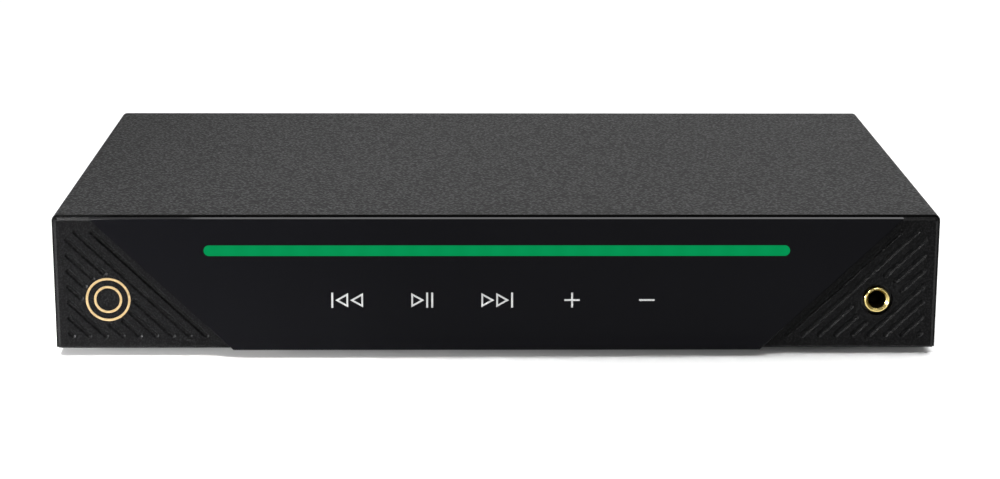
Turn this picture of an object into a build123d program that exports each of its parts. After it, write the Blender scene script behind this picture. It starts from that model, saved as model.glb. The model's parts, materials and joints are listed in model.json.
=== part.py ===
from build123d import *
import os
from math import cos, radians, sin, sqrt, tan

# Network audio player: a flat sheet steel case with a proud glass front, a light bar and touch keys.
# Millimetres. The origin is on the table under the middle of the outer box.
# +X is to the right seen from the front, the front faces -Y, +Z is up.

# Case
case_width = 310.0
case_depth = 184.0
case_height = 48.0
sheet = 1.0
bend_radius = 2.2
fit_gap = 0.2
rear_sheet = 1.2
rear_inset = 1.0
rear_corner_ease = 0.1
side_flange_height = 12.0
front_flange_height = 8.5
rear_flange_height = 6.5
rear_lip_height = 9.0
lip_end_margin = 5.0

# Feet
foot_height = 3.0
foot_radius = 9.0
foot_inset = 26.0
foot_round = 0.8

# Front frame and glass
glass_thickness = 3.0
glass_side_margin = 13.5
glass_top_margin = 0.5
glass_bottom_margin = 0.2
glass_bevel = 0.25
slant_angle = 46.0
frame_wall = 3.0
frame_lip = 1.6
frame_set_in = 0.8
frame_low_round = 1.4
frame_rim = 2.0
frame_depth = 12.0
frame_bevel = 0.9
frame_boss_radius = 3.5
frame_boss_inset = 14.0
frame_boss_gap = 0.6

# Grooves in the two corners beside the glass, parallel to its slanted ends, with shallow sloping walls
groove_width = 2.1
groove_depth = 0.45
groove_taper = 54.0
groove_pitch = 4.06
groove_first = 3.4
groove_side_margin = 5.4
groove_low_margin = 4.8
groove_high_margin = 5.9
clear_radius = 9.4

# Light bar, its drop from the top a share of the case's height
bar_drop_share = 0.2458
bar_length = 204.0
bar_height = 3.7
bar_gap = 0.1
bar_flange_margin = 2.0
bar_flange_depth = 2.0
bar_groove_height = 2.6
bar_groove_depth = 1.0
bar_board_height = 10.0
bar_board_margin = 10.0
led_count = 24
led_size = 1.6
led_height = 0.8

# Touch keys, with their rise above the base and the board's height as shares of the case's height
key_rise_share = 0.3833
key_pitch = 26.2
symbol_height = 5.5
symbol_stroke = 0.6
symbol_depth = 0.15
triangle_length = 4.5
triangle_height = 5.15
bar_stroke = 0.65
pause_pitch = 1.77
sign_length = 5.4
symbol_space = 0.7
touch_board_share = 0.3958
touch_board_margin = 13.5
touch_board_gap = 4.0
spring_radius = 4.0
spring_wire = 0.6
spring_hole_radius = 5.0

# Badge place: two plain rings let into the left corner
badge_inset = 18.9
badge_height = 17.9
badge_outer_radius = 7.8
badge_inner_radius = 4.9
badge_stroke = 0.8
badge_sink = 0.3
badge_proud = 0.15
inlay_gap = 0.05

# Headphone socket for a quarter inch plug
jack_inset = 21.3
jack_height = 17.5
jack_bore_radius = 3.2
jack_nose_radius = 4.55
jack_sleeve_radius = 4.2
jack_panel_hole_radius = 5.6
jack_nose_proud = 0.3
jack_nose_round = 0.6
jack_nose_funnel = 0.7
jack_body_size = 15.0
jack_body_length = 30.0
jack_sleeve_length = 13.0
jack_bore_end = 26.0
jack_contact_width = 2.0
jack_contact_thickness = 0.5
jack_contact_pitch = 4.0
headphone_board_length = 50.0
headphone_board_left = 18.0
headphone_board_right = 15.0

# Circuit boards
board_thickness = 1.6
board_standoff = 6.0
board_gap = 6.0
board_edge_gap = 2.0
board_hole_inset = 4.0
main_board_depth = 65.0
dac_board_depth = 70.0
supply_width = 56.0
standoff_flat = 5.5

# Screws
screw_radius = 1.45
screw_clearance = 0.1
screw_head_radius = 2.75
screw_head_height = 1.9
screw_head_round = 0.7
screw_end_gap = 0.3
recess_span = 3.0
recess_slot = 0.7
recess_depth = 0.9
sunk_head_radius = 2.35
sunk_head_play = 0.05
cover_screw_length = 5.0
cover_screw_rise = 8.0
cover_screw_end = 36.0
rear_screw_inset = 7.0

# Places of the rear sockets, in steps of a grid that shares out the case's width
socket_steps = 155
inlet_step = -59
switch_step = -41
reset_step = -24
ethernet_step = -14
usb_step = 1
optical_step = 23
coax_step = 35
rca_right_step = 47
rca_left_step = 56

# Mains inlet with a fuse drawer, its middle a little below the middle of the rear panel
inlet_drop = 1.0
inlet_flange_width = 31.0
inlet_flange_height = 33.0
inlet_flange_depth = 2.5
inlet_body_width = 27.0
inlet_body_height = 29.0
inlet_body_depth = 22.0
recess_width = 24.2
recess_height = 16.4
recess_corner = 5.0
inlet_recess_depth = 16.5
recess_rise = 5.5
blade_spacing = 14.0
blade_offset = 2.0
blade_width = 2.0
blade_height = 4.0
blade_inset = 2.5
blade_tail = 8.0
drawer_drop = 9.0
drawer_width = 22.4
drawer_height = 6.8
drawer_depth = 15.5
drawer_gap = 0.2
drawer_face_width = 25.0
drawer_face_height = 9.4
drawer_face_depth = 1.6
drawer_grip_depth = 1.2
drawer_grip_height = 1.4
fuse_length = 20.0
fuse_cap_radius = 2.6
fuse_glass_radius = 2.3
fuse_cap_length = 5.0
fuse_gap = 0.2

# Power switch
switch_flange_width = 15.0
switch_flange_height = 21.0
switch_flange_depth = 2.0
switch_body_width = 12.8
switch_body_height = 18.8
switch_body_depth = 17.0
well_width = 11.4
well_height = 17.8
well_depth = 10.0
rocker_width = 11.0
rocker_end_radius = 8.6
rocker_tip = 5.0
rocker_middle = 3.0
rocker_back = 3.0
rocker_tilt = 9.0
pivot_radius = 1.0
pivot_gap = 0.05
pivot_set_back = 1.5
terminal_spread = 6.0

# Network sockets
socket_reach = 1.0
socket_gap = 0.25
ethernet_width = 16.0
ethernet_height = 13.4
ethernet_depth = 21.0
ethernet_mouth_width = 11.9
ethernet_mouth_height = 8.2
ethernet_mouth_rise = 3.0
ethernet_mouth_depth = 13.0
latch_width = 6.2
latch_height = 2.0
latch_depth = 9.0
contact_count = 8
contact_pitch = 1.02
contact_width = 0.5
contact_height = 0.6
contact_length = 7.0
usb_width = 14.4
usb_height = 15.6
usb_depth = 17.5
usb_slot_width = 12.5
usb_slot_height = 5.2
usb_slot_depth = 12.0
usb_slot_rise = 4.3
usb_slot_pitch = 7.0
tongue_width = 11.2
tongue_height = 1.9
tongue_length = 10.5
tongue_rise = 0.3
reset_body_width = 6.2
reset_body_height = 7.0
reset_body_depth = 5.0
reset_button_radius = 1.5
reset_button_gap = 0.2
reset_button_rise = 3.6
reset_button_start = 7.0
reset_button_reach = 0.4
reset_travel = 0.5
reset_collar_radius = 2.3
reset_collar_length = 1.2

# Audio sockets
rca_reach = 10.0
rca_barrel_radius = 4.15
rca_barrel_bore = 3.45
rca_barrel_round = 0.3
rca_flange_radius = 5.6
rca_flange_depth = 1.0
rca_hole_gap = 0.25
rca_pin_bore = 1.6
rca_pin_depth = 9.0
rca_core_set_back = 0.6
rca_block_width = 11.0
rca_block_height = 13.8
rca_block_depth = 12.5
rca_rise = 8.4
optical_width = 10.4
optical_height = 11.0
optical_depth = 13.4
optical_reach = 1.6
optical_mouth_width = 6.2
optical_mouth_low = 2.4
optical_mouth_high = 9.4
optical_mouth_depth = 9.0
shutter_thickness = 0.8
shutter_set_back = 0.6
shutter_side_gap = 0.1
shutter_pin_radius = 0.4
shutter_pin_gap = 0.05
shutter_pin_reach = 0.8
shutter_bottom_gap = 0.2

# Mains transformer and power supply board
transformer_inset = 50.0
transformer_radius = 38.0
transformer_hole = 13.0
transformer_round = 7.0
transformer_front_gap = 26.0
transformer_pad = 2.0
transformer_pad_margin = 3.0
clamp_radius = 24.0
clamp_thickness = 2.0
stud_radius = 3.0
stud_gap = 0.2
nut_flat = 10.0
nut_height = 5.0
nut_head_space = 4.0
capacitor_radius = 9.0
capacitor_height = 28.0
capacitor_pitch = 22.0
capacitor_round = 1.2
heatsink_length = 50.0
heatsink_height = 26.0
heatsink_plate = 3.0
heatsink_fin = 1.4
heatsink_fin_reach = 6.0
heatsink_fin_count = 8
heatsink_edge = 3.0
regulator_width = 10.0
regulator_height = 15.0
regulator_depth = 4.5
regulator_pitch = 16.0

# Chips, plugs between the boards, wires and ribbons
processor_size = 20.0
processor_height = 1.8
processor_fin_height = 9.0
processor_fin_count = 6
processor_plate = 2.0
converter_size = 10.0
converter_pitch = 26.0
converter_height = 1.4
plug_height = 7.0
plug_depth = 5.0
plug_width = 12.0
plug_edge = 2.0
wire_radius = 0.8
wire_pitch = 2.6
wire_count = 4
ribbon_width = 9.0
ribbon_thickness = 0.4
ribbon_plug_height = 4.0
ribbon_plug_depth = 4.0
ribbon_drop = 14.0
mains_wire_radius = 1.1
mains_wire_bend = 5.0
mains_plug_height = 14.0
mains_plug_width = 10.0
mains_plug_depth = 12.0
mains_wire_run = 12.0

# Air slots in the base
vent_length = 34.0
vent_width = 3.0
vent_pitch = 7.0
vent_rows = 8

# Main faces of the case
half_width = case_width / 2
socket_pitch = case_width / socket_steps
total_depth = glass_thickness + case_depth - rear_inset + rca_reach
glass_y = -total_depth / 2
front_y = glass_y + glass_thickness
rear_y = front_y + case_depth
rear_face_y = rear_y - rear_inset
rear_inner_y = rear_face_y - rear_sheet
base_z = foot_height
floor_z = base_z + sheet
top_z = base_z + case_height
under_top_z = top_z - sheet
ceiling_z = under_top_z - fit_gap
inner_half = half_width - sheet - fit_gap
corner_round = bend_radius - sheet / 2
rear_corner_round = bend_radius - sheet + rear_corner_ease
frame_back_y = front_y + frame_wall
frame_lip_y = front_y + frame_lip
frame_half = half_width - frame_set_in
frame_top_z = top_z - frame_set_in
frame_high_round = bend_radius - frame_set_in
cover_front_y = frame_lip_y + fit_gap
base_front_y = front_y + frame_depth + fit_gap

# Glass outline
glass_top_z = top_z - glass_top_margin
glass_low_z = base_z + glass_bottom_margin
glass_top_half = half_width - glass_side_margin
slant = radians(slant_angle)
glass_low_half = glass_top_half - (glass_top_z - glass_low_z) * tan(slant)

# Front features
bar_z = top_z - case_height * bar_drop_share
key_z = base_z + case_height * key_rise_share
touch_board_height = case_height * touch_board_share
key_places = [key_pitch * step for step in (-2, -1, 0, 1, 2)]
badge_x = -half_width + badge_inset
badge_z = base_z + badge_height
jack_x = half_width - jack_inset
jack_z = base_z + jack_height
bar_flange_back_y = frame_back_y + bar_flange_depth
bar_board_back_y = bar_flange_back_y + board_thickness
bar_board_half = bar_length / 2 + bar_board_margin
touch_front_y = frame_back_y + touch_board_gap
touch_back_y = touch_front_y + board_thickness
touch_half = 2 * key_pitch + touch_board_margin

# Board levels and outlines
reset_x = reset_step * socket_pitch
ethernet_x = ethernet_step * socket_pitch
usb_x = usb_step * socket_pitch
deck_low_z = floor_z + board_standoff
deck_z = deck_low_z + board_thickness
board_rear_y = rear_inner_y - board_edge_gap
main_front_y = board_rear_y - main_board_depth
dac_front_y = board_rear_y - dac_board_depth
headphone_deck_z = jack_z - jack_body_size / 2
headphone_low_z = headphone_deck_z - board_thickness
headphone_front_y = base_front_y + sheet + board_edge_gap / 2
headphone_rear_y = headphone_front_y + headphone_board_length
transformer_x = -half_width + transformer_inset
transformer_y = base_front_y + transformer_front_gap + transformer_radius - frame_depth
supply_left = transformer_x + transformer_radius + board_gap
supply_right = supply_left + supply_width
supply_front_y = base_front_y + sheet + 2 * board_edge_gap
supply_rear_y = main_front_y - board_gap
main_left = reset_x - reset_body_width / 2 - board_gap - board_hole_inset
main_right = usb_x + usb_width / 2 + board_gap + board_hole_inset
dac_left = main_right + board_gap
dac_right = inner_half - sheet - board_gap
board_outlines = [
    (supply_left, supply_right, supply_front_y, supply_rear_y, deck_low_z),
    (main_left, main_right, main_front_y, board_rear_y, deck_low_z),
    (dac_left, dac_right, dac_front_y, board_rear_y, deck_low_z),
    (jack_x - headphone_board_left, jack_x + headphone_board_right, headphone_front_y, headphone_rear_y,
     headphone_low_z),
]

# Rear sockets
inlet_x = inlet_step * socket_pitch
inlet_z = base_z + case_height / 2 - inlet_drop
recess_z = inlet_z + recess_rise
drawer_z = inlet_z - drawer_drop
inlet_face_y = rear_face_y + inlet_flange_depth
inlet_back_y = rear_face_y - inlet_body_depth
inlet_floor_y = inlet_face_y - inlet_recess_depth
switch_x = switch_step * socket_pitch
switch_z = inlet_z
switch_face_y = rear_face_y + switch_flange_depth
switch_back_y = rear_face_y - switch_body_depth
pivot_y = rear_face_y - pivot_set_back
socket_face_y = rear_face_y + socket_reach
rca_left_x = rca_left_step * socket_pitch
rca_right_x = rca_right_step * socket_pitch
coax_x = coax_step * socket_pitch
optical_x = optical_step * socket_pitch
rca_places = [rca_left_x, rca_right_x, coax_x]
rca_z = deck_z + rca_rise
rca_end_y = rear_face_y + rca_reach
optical_face_y = rear_face_y + optical_reach
reset_z = deck_z + reset_button_rise

# Screw lengths and places
screw_length = (board_standoff + board_thickness + sheet) / 2 - screw_end_gap
screw_hole_radius = screw_radius + screw_clearance
frame_screw_z = base_z + frame_rim + frame_boss_radius - fit_gap
frame_screw_places = [
    side * reach
    for side in (-1, 1)
    for reach in (touch_half + frame_boss_radius + frame_boss_gap, inner_half - frame_boss_inset)
]
rear_low_screw_z = floor_z + rear_flange_height / 2
rear_high_screw_z = under_top_z - rear_lip_height / 2
rear_screw_reach = inner_half - lip_end_margin - rear_screw_inset
rear_screw_places = [
    (x, z)
    for x in (-rear_screw_reach, 0, rear_screw_reach)
    for z in (rear_low_screw_z, rear_high_screw_z)
]
cover_screw_z = base_z + cover_screw_rise
cover_screw_places = [front_y + cover_screw_end, rear_y - cover_screw_end]
bar_board_screws = [(-bar_board_half + board_hole_inset, bar_z), (bar_board_half - board_hole_inset, bar_z)]
touch_screw_x = touch_half - board_hole_inset
touch_screw_rise = touch_board_height / 2 - board_hole_inset
touch_board_screws = [
    (side * touch_screw_x, key_z + lift) for side in (-1, 1) for lift in (-touch_screw_rise, touch_screw_rise)
]
standoff_places = [
    (x, y, low_z)
    for left, right, front, rear, low_z in board_outlines
    for x in (left + board_hole_inset, right - board_hole_inset)
    for y in (front + board_hole_inset, rear - board_hole_inset)
]


def front_plane(y):
    """A plane facing forward at a place along the depth, drawn in X and Z."""
    return Plane.XZ.offset(-y)


def block(x_span, y_span, z_span, mode=Mode.ADD):
    """A box between two opposite corners."""
    spans = (x_span, y_span, z_span)
    with Locations(tuple((low + high) / 2 for low, high in spans)):
        Box(*(high - low for low, high in spans), mode=mode)


def around(middle, size):
    """The span of a size about its middle."""
    return (middle - size / 2, middle + size / 2)


def rod_x(radius, y, z, x_span, mode=Mode.ADD):
    """A round bar along X."""
    with Locations(Location((x_span[0], y, z), (0, 90, 0))):
        Cylinder(radius, x_span[1] - x_span[0], align=(Align.CENTER, Align.CENTER, Align.MIN), mode=mode)


def rod_y(radius, x, z, y_span, mode=Mode.ADD):
    """A round bar along Y."""
    with Locations(Location((x, y_span[0], z), (-90, 0, 0))):
        Cylinder(radius, y_span[1] - y_span[0], align=(Align.CENTER, Align.CENTER, Align.MIN), mode=mode)


def rod_z(radius, x, y, z_span, mode=Mode.ADD):
    """A round bar along Z."""
    with Locations((x, y, z_span[0])):
        Cylinder(radius, z_span[1] - z_span[0], align=(Align.CENTER, Align.CENTER, Align.MIN), mode=mode)


# Room behind the rear panel for the body of the mains inlet
inlet_room = (
    around(inlet_x, inlet_body_width + 2 * socket_gap),
    (rear_inner_y - sheet, rear_inner_y),
    around(inlet_z, inlet_body_height + 2 * socket_gap),
)

# Screws, drawn with the head's seat at height zero and the shank pointing down
with BuildPart() as pan_screw:
    rod_z(screw_head_radius, 0, 0, (0, screw_head_height))
    fillet(pan_screw.edges().group_by(Axis.Z)[-1], screw_head_round)
    rod_z(screw_radius, 0, 0, (-screw_length, 0))
    recess_span_z = (screw_head_height - recess_depth, screw_head_height)
    block(around(0, recess_span), around(0, recess_slot), recess_span_z, Mode.SUBTRACT)
    block(around(0, recess_slot), around(0, recess_span), recess_span_z, Mode.SUBTRACT)

with BuildPart() as sunk_screw:
    head_depth = sunk_head_radius - screw_radius
    with Locations((0, 0, -head_depth)):
        Cone(screw_radius, sunk_head_radius, head_depth, align=(Align.CENTER, Align.CENTER, Align.MIN))
    rod_z(screw_radius, 0, 0, (-cover_screw_length, -head_depth))
    sunk_recess_z = (-head_depth / 2, 0)
    block(around(0, recess_span), around(0, recess_slot), sunk_recess_z, Mode.SUBTRACT)
    block(around(0, recess_slot), around(0, recess_span), sunk_recess_z, Mode.SUBTRACT)

# Top cover: one sheet bent into a sleeve, with a lip inside its rear edge
with BuildPart() as top_cover:
    with BuildSketch(front_plane(rear_y)):
        with Locations((0, base_z)):
            cover_outside = Rectangle(case_width, case_height, align=(Align.CENTER, Align.MIN))
        fillet(cover_outside.vertices().group_by(Axis.Y)[-1], bend_radius)
    extrude(amount=rear_y - cover_front_y)
    with BuildSketch(front_plane(rear_y)):
        with Locations((0, base_z)):
            cover_inside = Rectangle(
                case_width - 2 * sheet, case_height - sheet, align=(Align.CENTER, Align.MIN)
            )
        fillet(cover_inside.vertices().group_by(Axis.Y)[-1], bend_radius - sheet)
    extrude(amount=rear_y - cover_front_y, mode=Mode.SUBTRACT)
    block(
        (-inner_half + lip_end_margin, inner_half - lip_end_margin),
        (rear_inner_y - sheet, rear_inner_y),
        (under_top_z - rear_lip_height, under_top_z),
    )
    block(*inlet_room, Mode.SUBTRACT)
    for x, z in rear_screw_places:
        if z == rear_high_screw_z:
            rod_y(screw_hole_radius, x, z, (rear_inner_y - sheet, rear_inner_y), Mode.SUBTRACT)
    for side in (-1, 1):
        for y in cover_screw_places:
            with Locations(Plane(origin=(side * half_width, y, cover_screw_z), z_dir=(side, 0, 0))):
                CounterSinkHole(
                    screw_hole_radius,
                    sunk_head_radius + sunk_head_play,
                    depth=2 * sheet,
                    counter_sink_angle=90,
                )

with BuildPart() as cover_screws:
    for side in (-1, 1):
        for y in cover_screw_places:
            with Locations(Plane(origin=(side * half_width, y, cover_screw_z), z_dir=(side, 0, 0))):
                add(sunk_screw.part)

# Base tray: floor with bent side flanges, and tabs at the front and the rear
with BuildPart() as base_tray:
    tray_length = rear_inner_y - base_front_y
    with BuildSketch(front_plane(rear_inner_y)):
        with Locations((0, base_z)):
            tray_outside = Rectangle(
                2 * inner_half, sheet + side_flange_height, align=(Align.CENTER, Align.MIN)
            )
        fillet(tray_outside.vertices().group_by(Axis.Y)[0], bend_radius)
    extrude(amount=tray_length)
    with BuildSketch(front_plane(rear_inner_y)):
        with Locations((0, floor_z)):
            tray_inside = Rectangle(
                2 * (inner_half - sheet), side_flange_height, align=(Align.CENTER, Align.MIN)
            )
        fillet(tray_inside.vertices().group_by(Axis.Y)[0], bend_radius - sheet)
    extrude(amount=tray_length, mode=Mode.SUBTRACT)
    tab_span = (-inner_half + sheet + bend_radius, inner_half - sheet - bend_radius)
    block(tab_span, (base_front_y, base_front_y + sheet), (floor_z, floor_z + front_flange_height))
    block(tab_span, (rear_inner_y - sheet, rear_inner_y), (floor_z, floor_z + rear_flange_height))
    block(*inlet_room, Mode.SUBTRACT)
    for x in frame_screw_places:
        rod_y(screw_hole_radius, x, frame_screw_z, (base_front_y, base_front_y + sheet), Mode.SUBTRACT)
    for x, z in rear_screw_places:
        if z == rear_low_screw_z:
            rod_y(screw_hole_radius, x, z, (rear_inner_y - sheet, rear_inner_y), Mode.SUBTRACT)
    for side in (-1, 1):
        for y in cover_screw_places:
            flange_span = sorted((side * inner_half, side * (inner_half - sheet)))
            rod_x(screw_hole_radius, y, cover_screw_z, flange_span, Mode.SUBTRACT)
    for x, y, low_z in standoff_places:
        rod_z(screw_hole_radius, x, y, (base_z, floor_z), Mode.SUBTRACT)
    with BuildSketch(Plane.XY.offset(base_z)):
        for left, right, front, rear, low_z in board_outlines[:3]:
            with Locations(((left + right) / 2, (front + rear) / 2)):
                with GridLocations(vent_length, vent_pitch, 1, vent_rows):
                    SlotOverall(vent_length, vent_width)
    extrude(amount=sheet, mode=Mode.SUBTRACT)

# Rubber feet under the four corners
feet = {}
for end, foot_y in (("front", front_y + foot_inset), ("rear", rear_y - foot_inset)):
    for hand, side in (("left", -1), ("right", 1)):
        with BuildPart() as foot:
            rod_z(foot_radius, side * (half_width - foot_inset), foot_y, (0, foot_height))
            fillet(foot.edges().group_by(Axis.Z)[0], foot_round)
        feet[f"foot_{end}_{hand}"] = foot

# Rear panel with an opening for each socket
with BuildPart() as rear_panel:
    panel_span = (rear_inner_y, rear_face_y)
    block((-inner_half, inner_half), panel_span, (base_z, ceiling_z))
    fillet(rear_panel.edges().filter_by(Axis.Y).group_by(Axis.Z)[-1], rear_corner_round)
    rear_openings = [
        (inlet_x, inlet_z, inlet_body_width, inlet_body_height),
        (switch_x, switch_z, switch_body_width, switch_body_height),
        (ethernet_x, deck_z + ethernet_height / 2, ethernet_width, ethernet_height),
        (usb_x, deck_z + usb_height / 2, usb_width, usb_height),
        (optical_x, deck_z + optical_height / 2, optical_width, optical_height),
    ]
    for x, z, width, height in rear_openings:
        opening_width = around(x, width + 2 * socket_gap)
        opening_height = around(z, height + 2 * socket_gap)
        block(opening_width, panel_span, opening_height, Mode.SUBTRACT)
    for x in rca_places:
        rod_y(rca_barrel_radius + rca_hole_gap, x, rca_z, panel_span, Mode.SUBTRACT)
    rod_y(reset_button_radius + reset_button_gap, reset_x, reset_z, panel_span, Mode.SUBTRACT)
    for x, z in rear_screw_places:
        rod_y(screw_hole_radius, x, z, panel_span, Mode.SUBTRACT)

with BuildPart() as rear_screws:
    for x, z in rear_screw_places:
        with Locations(Location((x, rear_face_y, z), (-90, 0, 0))):
            add(pan_screw.part)


def groove_segments(clear_x, clear_z):
    """Middles and lengths of the grooves in the left corner, broken around a clear circle."""
    across = sin(slant)
    down = cos(slant)
    low_x = -half_width + groove_side_margin
    low_z = base_z + groove_low_margin
    high_z = top_z - groove_high_margin
    corner_reach = (-glass_top_half - low_x) * down + (glass_top_z - low_z) * across
    clear_out = (-glass_top_half - clear_x) * down + (glass_top_z - clear_z) * across
    clear_along = (clear_x + glass_top_half) * across + (glass_top_z - clear_z) * down
    segments = []
    out = groove_first
    while out < corner_reach:
        start_x = -glass_top_half - out * down
        start_z = glass_top_z - out * across
        first = max((low_x - start_x) / across, (start_z - high_z) / down)
        last = (start_z - low_z) / down
        runs = [(first, last)]
        miss = abs(out - clear_out)
        if miss < clear_radius - groove_width:
            half_chord = sqrt(clear_radius**2 - miss**2)
            runs = [(first, clear_along - half_chord), (clear_along + half_chord, last)]
        for begin, end in runs:
            middle = (begin + end) / 2
            if end > begin:
                segments.append((start_x + middle * across, start_z - middle * down, end - begin))
        out += groove_pitch
    return segments


# Front frame: a bevelled front the size of the case, and a rim behind it that enters the cover
with BuildPart() as front_frame:
    with BuildSketch(front_plane(frame_lip_y)):
        with Locations((0, base_z)):
            frame_outside = Rectangle(2 * frame_half, frame_top_z - base_z, align=(Align.CENTER, Align.MIN))
        fillet(frame_outside.vertices().group_by(Axis.Y)[-1], frame_high_round)
        fillet(frame_outside.vertices().group_by(Axis.Y)[0], frame_low_round)
    extrude(amount=frame_lip)
    chamfer(front_frame.faces().sort_by(Axis.Y)[0].edges(), frame_bevel)
    with BuildSketch(front_plane(front_y + frame_depth)):
        with Locations((0, base_z)):
            rim_outside = Rectangle(2 * inner_half, ceiling_z - base_z, align=(Align.CENTER, Align.MIN))
        fillet(rim_outside.vertices().group_by(Axis.Y)[-1], corner_round)
        fillet(rim_outside.vertices().group_by(Axis.Y)[0], frame_low_round)
    extrude(amount=frame_depth - frame_lip)
    block(
        (-inner_half + frame_rim, inner_half - frame_rim),
        (frame_back_y, front_y + frame_depth),
        (base_z + frame_rim, ceiling_z - frame_rim),
        Mode.SUBTRACT,
    )
    for x in frame_screw_places:
        rod_y(frame_boss_radius, x, frame_screw_z, (frame_back_y, base_front_y))
        rod_y(screw_hole_radius, x, frame_screw_z, (base_front_y - screw_length, base_front_y), Mode.SUBTRACT)
    for x, z in bar_board_screws:
        rod_y(board_hole_inset - fit_gap, x, z, (frame_back_y, bar_flange_back_y))
        hole_start_y = bar_board_back_y - screw_length - screw_end_gap
        rod_y(screw_hole_radius, x, z, (hole_start_y, bar_flange_back_y), Mode.SUBTRACT)
    for x, z in touch_board_screws:
        rod_y(board_hole_inset - fit_gap, x, z, (frame_back_y, touch_front_y))
        hole_start_y = touch_back_y - screw_length - screw_end_gap
        rod_y(screw_hole_radius, x, z, (hole_start_y, touch_front_y), Mode.SUBTRACT)
    with BuildSketch(front_plane(front_y)):
        with Locations((0, bar_z)):
            SlotOverall(bar_length + 2 * bar_gap, bar_height + 2 * bar_gap)
        with Locations(*((x, key_z) for x in key_places)):
            Circle(spring_hole_radius)
        with Locations((jack_x, jack_z)):
            Circle(jack_panel_hole_radius)
    extrude(amount=-frame_wall, mode=Mode.SUBTRACT)
    with BuildSketch(front_plane(front_y)):
        for side, clear_x, clear_z in ((1, badge_x, badge_z), (-1, -jack_x, jack_z)):
            for x, z, length in groove_segments(clear_x, clear_z):
                with Locations((side * x, z)):
                    SlotCenterToCenter(length, groove_width, rotation=(slant_angle - 90) * side)
    extrude(amount=-groove_depth, taper=groove_taper, mode=Mode.SUBTRACT)
    with BuildSketch(front_plane(front_y)):
        with Locations((badge_x, badge_z)):
            for radius in (badge_outer_radius, badge_inner_radius):
                Circle(radius + inlay_gap)
                Circle(radius - badge_stroke - inlay_gap, mode=Mode.SUBTRACT)
    extrude(amount=-badge_sink, mode=Mode.SUBTRACT)

# Badge rings in the left corner
with BuildPart() as badge_rings:
    with BuildSketch(front_plane(front_y + badge_sink)):
        with Locations((badge_x, badge_z)):
            for radius in (badge_outer_radius, badge_inner_radius):
                Circle(radius)
                Circle(radius - badge_stroke, mode=Mode.SUBTRACT)
    extrude(amount=badge_sink + badge_proud)

# Symbols of the five touch keys: back, play and pause, forward, plus, minus
half_triangle = triangle_height / 2
double_length = bar_stroke + 2 * (symbol_space + triangle_length)
play_length = triangle_length + symbol_space + pause_pitch + bar_stroke
with BuildSketch(front_plane(glass_y + symbol_depth)) as symbol_sketch:
    for turn, place in ((-1, key_places[0]), (1, key_places[2])):
        start = -double_length / 2
        for step in range(2):
            base_x = start + step * (triangle_length + symbol_space)
            with BuildLine():
                Polyline(
                    (place + turn * base_x, key_z - half_triangle),
                    (place + turn * base_x, key_z + half_triangle),
                    (place + turn * (base_x + triangle_length), key_z),
                    close=True,
                )
            make_face()
        with Locations((place + turn * (double_length - bar_stroke) / 2, key_z)):
            Rectangle(bar_stroke, symbol_height)
    play_start = key_places[1] - play_length / 2
    with BuildLine():
        Polyline(
            (play_start, key_z - half_triangle),
            (play_start, key_z + half_triangle),
            (play_start + triangle_length, key_z),
            close=True,
        )
    make_face()
    for step in (0, 1):
        bar_x = play_start + triangle_length + symbol_space + bar_stroke / 2 + step * pause_pitch
        with Locations((bar_x, key_z)):
            Rectangle(bar_stroke, symbol_height)
    with Locations((key_places[3], key_z)):
        Rectangle(sign_length, bar_stroke)
        Rectangle(bar_stroke, sign_length)
    with Locations((key_places[4], key_z)):
        Rectangle(sign_length, bar_stroke)

# The triangles are outlines: each has a smaller triangle cut out, its sides a stroke away
half_angle_slope = half_triangle / triangle_length
tip_inset = symbol_stroke * sqrt(1 + half_angle_slope**2) / half_angle_slope
inner_base = symbol_stroke
inner_tip = triangle_length - tip_inset
inner_half_height = (inner_tip - inner_base) * half_angle_slope
triangle_starts = [(play_start, 1)]
for turn, place in ((-1, key_places[0]), (1, key_places[2])):
    for step in range(2):
        offset = -double_length / 2 + step * (triangle_length + symbol_space)
        triangle_starts.append((place + turn * offset, turn))

with BuildPart() as touch_symbols:
    extrude(symbol_sketch.sketch, amount=symbol_depth)
    with BuildSketch(front_plane(glass_y + symbol_depth)):
        for start_x, turn in triangle_starts:
            with BuildLine():
                Polyline(
                    (start_x + turn * inner_base, key_z - inner_half_height),
                    (start_x + turn * inner_base, key_z + inner_half_height),
                    (start_x + turn * inner_tip, key_z),
                    close=True,
                )
            make_face()
    extrude(amount=symbol_depth, mode=Mode.SUBTRACT)

# Glass panel with slanted ends, a slot for the light bar and the symbols let in
with BuildPart() as front_glass:
    with BuildSketch(front_plane(front_y)):
        with BuildLine():
            Polyline(
                (-glass_low_half, glass_low_z),
                (glass_low_half, glass_low_z),
                (glass_top_half, glass_top_z),
                (-glass_top_half, glass_top_z),
                close=True,
            )
        make_face()
    extrude(amount=glass_thickness)
    chamfer(front_glass.faces().sort_by(Axis.Y)[0].edges(), glass_bevel)
    with BuildSketch(front_plane(front_y)):
        with Locations((0, bar_z)):
            SlotOverall(bar_length + 2 * bar_gap, bar_height + 2 * bar_gap)
    extrude(amount=glass_thickness, mode=Mode.SUBTRACT)
    add(touch_symbols.part, mode=Mode.SUBTRACT)

# Light bar: a clear strip through glass and frame, with a flange and a channel for the lamps behind
with BuildPart() as light_bar:
    with BuildSketch(front_plane(frame_back_y)):
        with Locations((0, bar_z)):
            SlotOverall(bar_length, bar_height)
    extrude(amount=frame_wall + glass_thickness)
    flange_length = bar_length + 2 * bar_flange_margin
    flange_height = bar_height + 2 * bar_flange_margin
    block(around(0, flange_length), (frame_back_y, bar_flange_back_y), around(bar_z, flange_height))
    block(
        around(0, bar_length),
        (bar_flange_back_y - bar_groove_depth, bar_flange_back_y),
        around(bar_z, bar_groove_height),
        Mode.SUBTRACT,
    )

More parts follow.
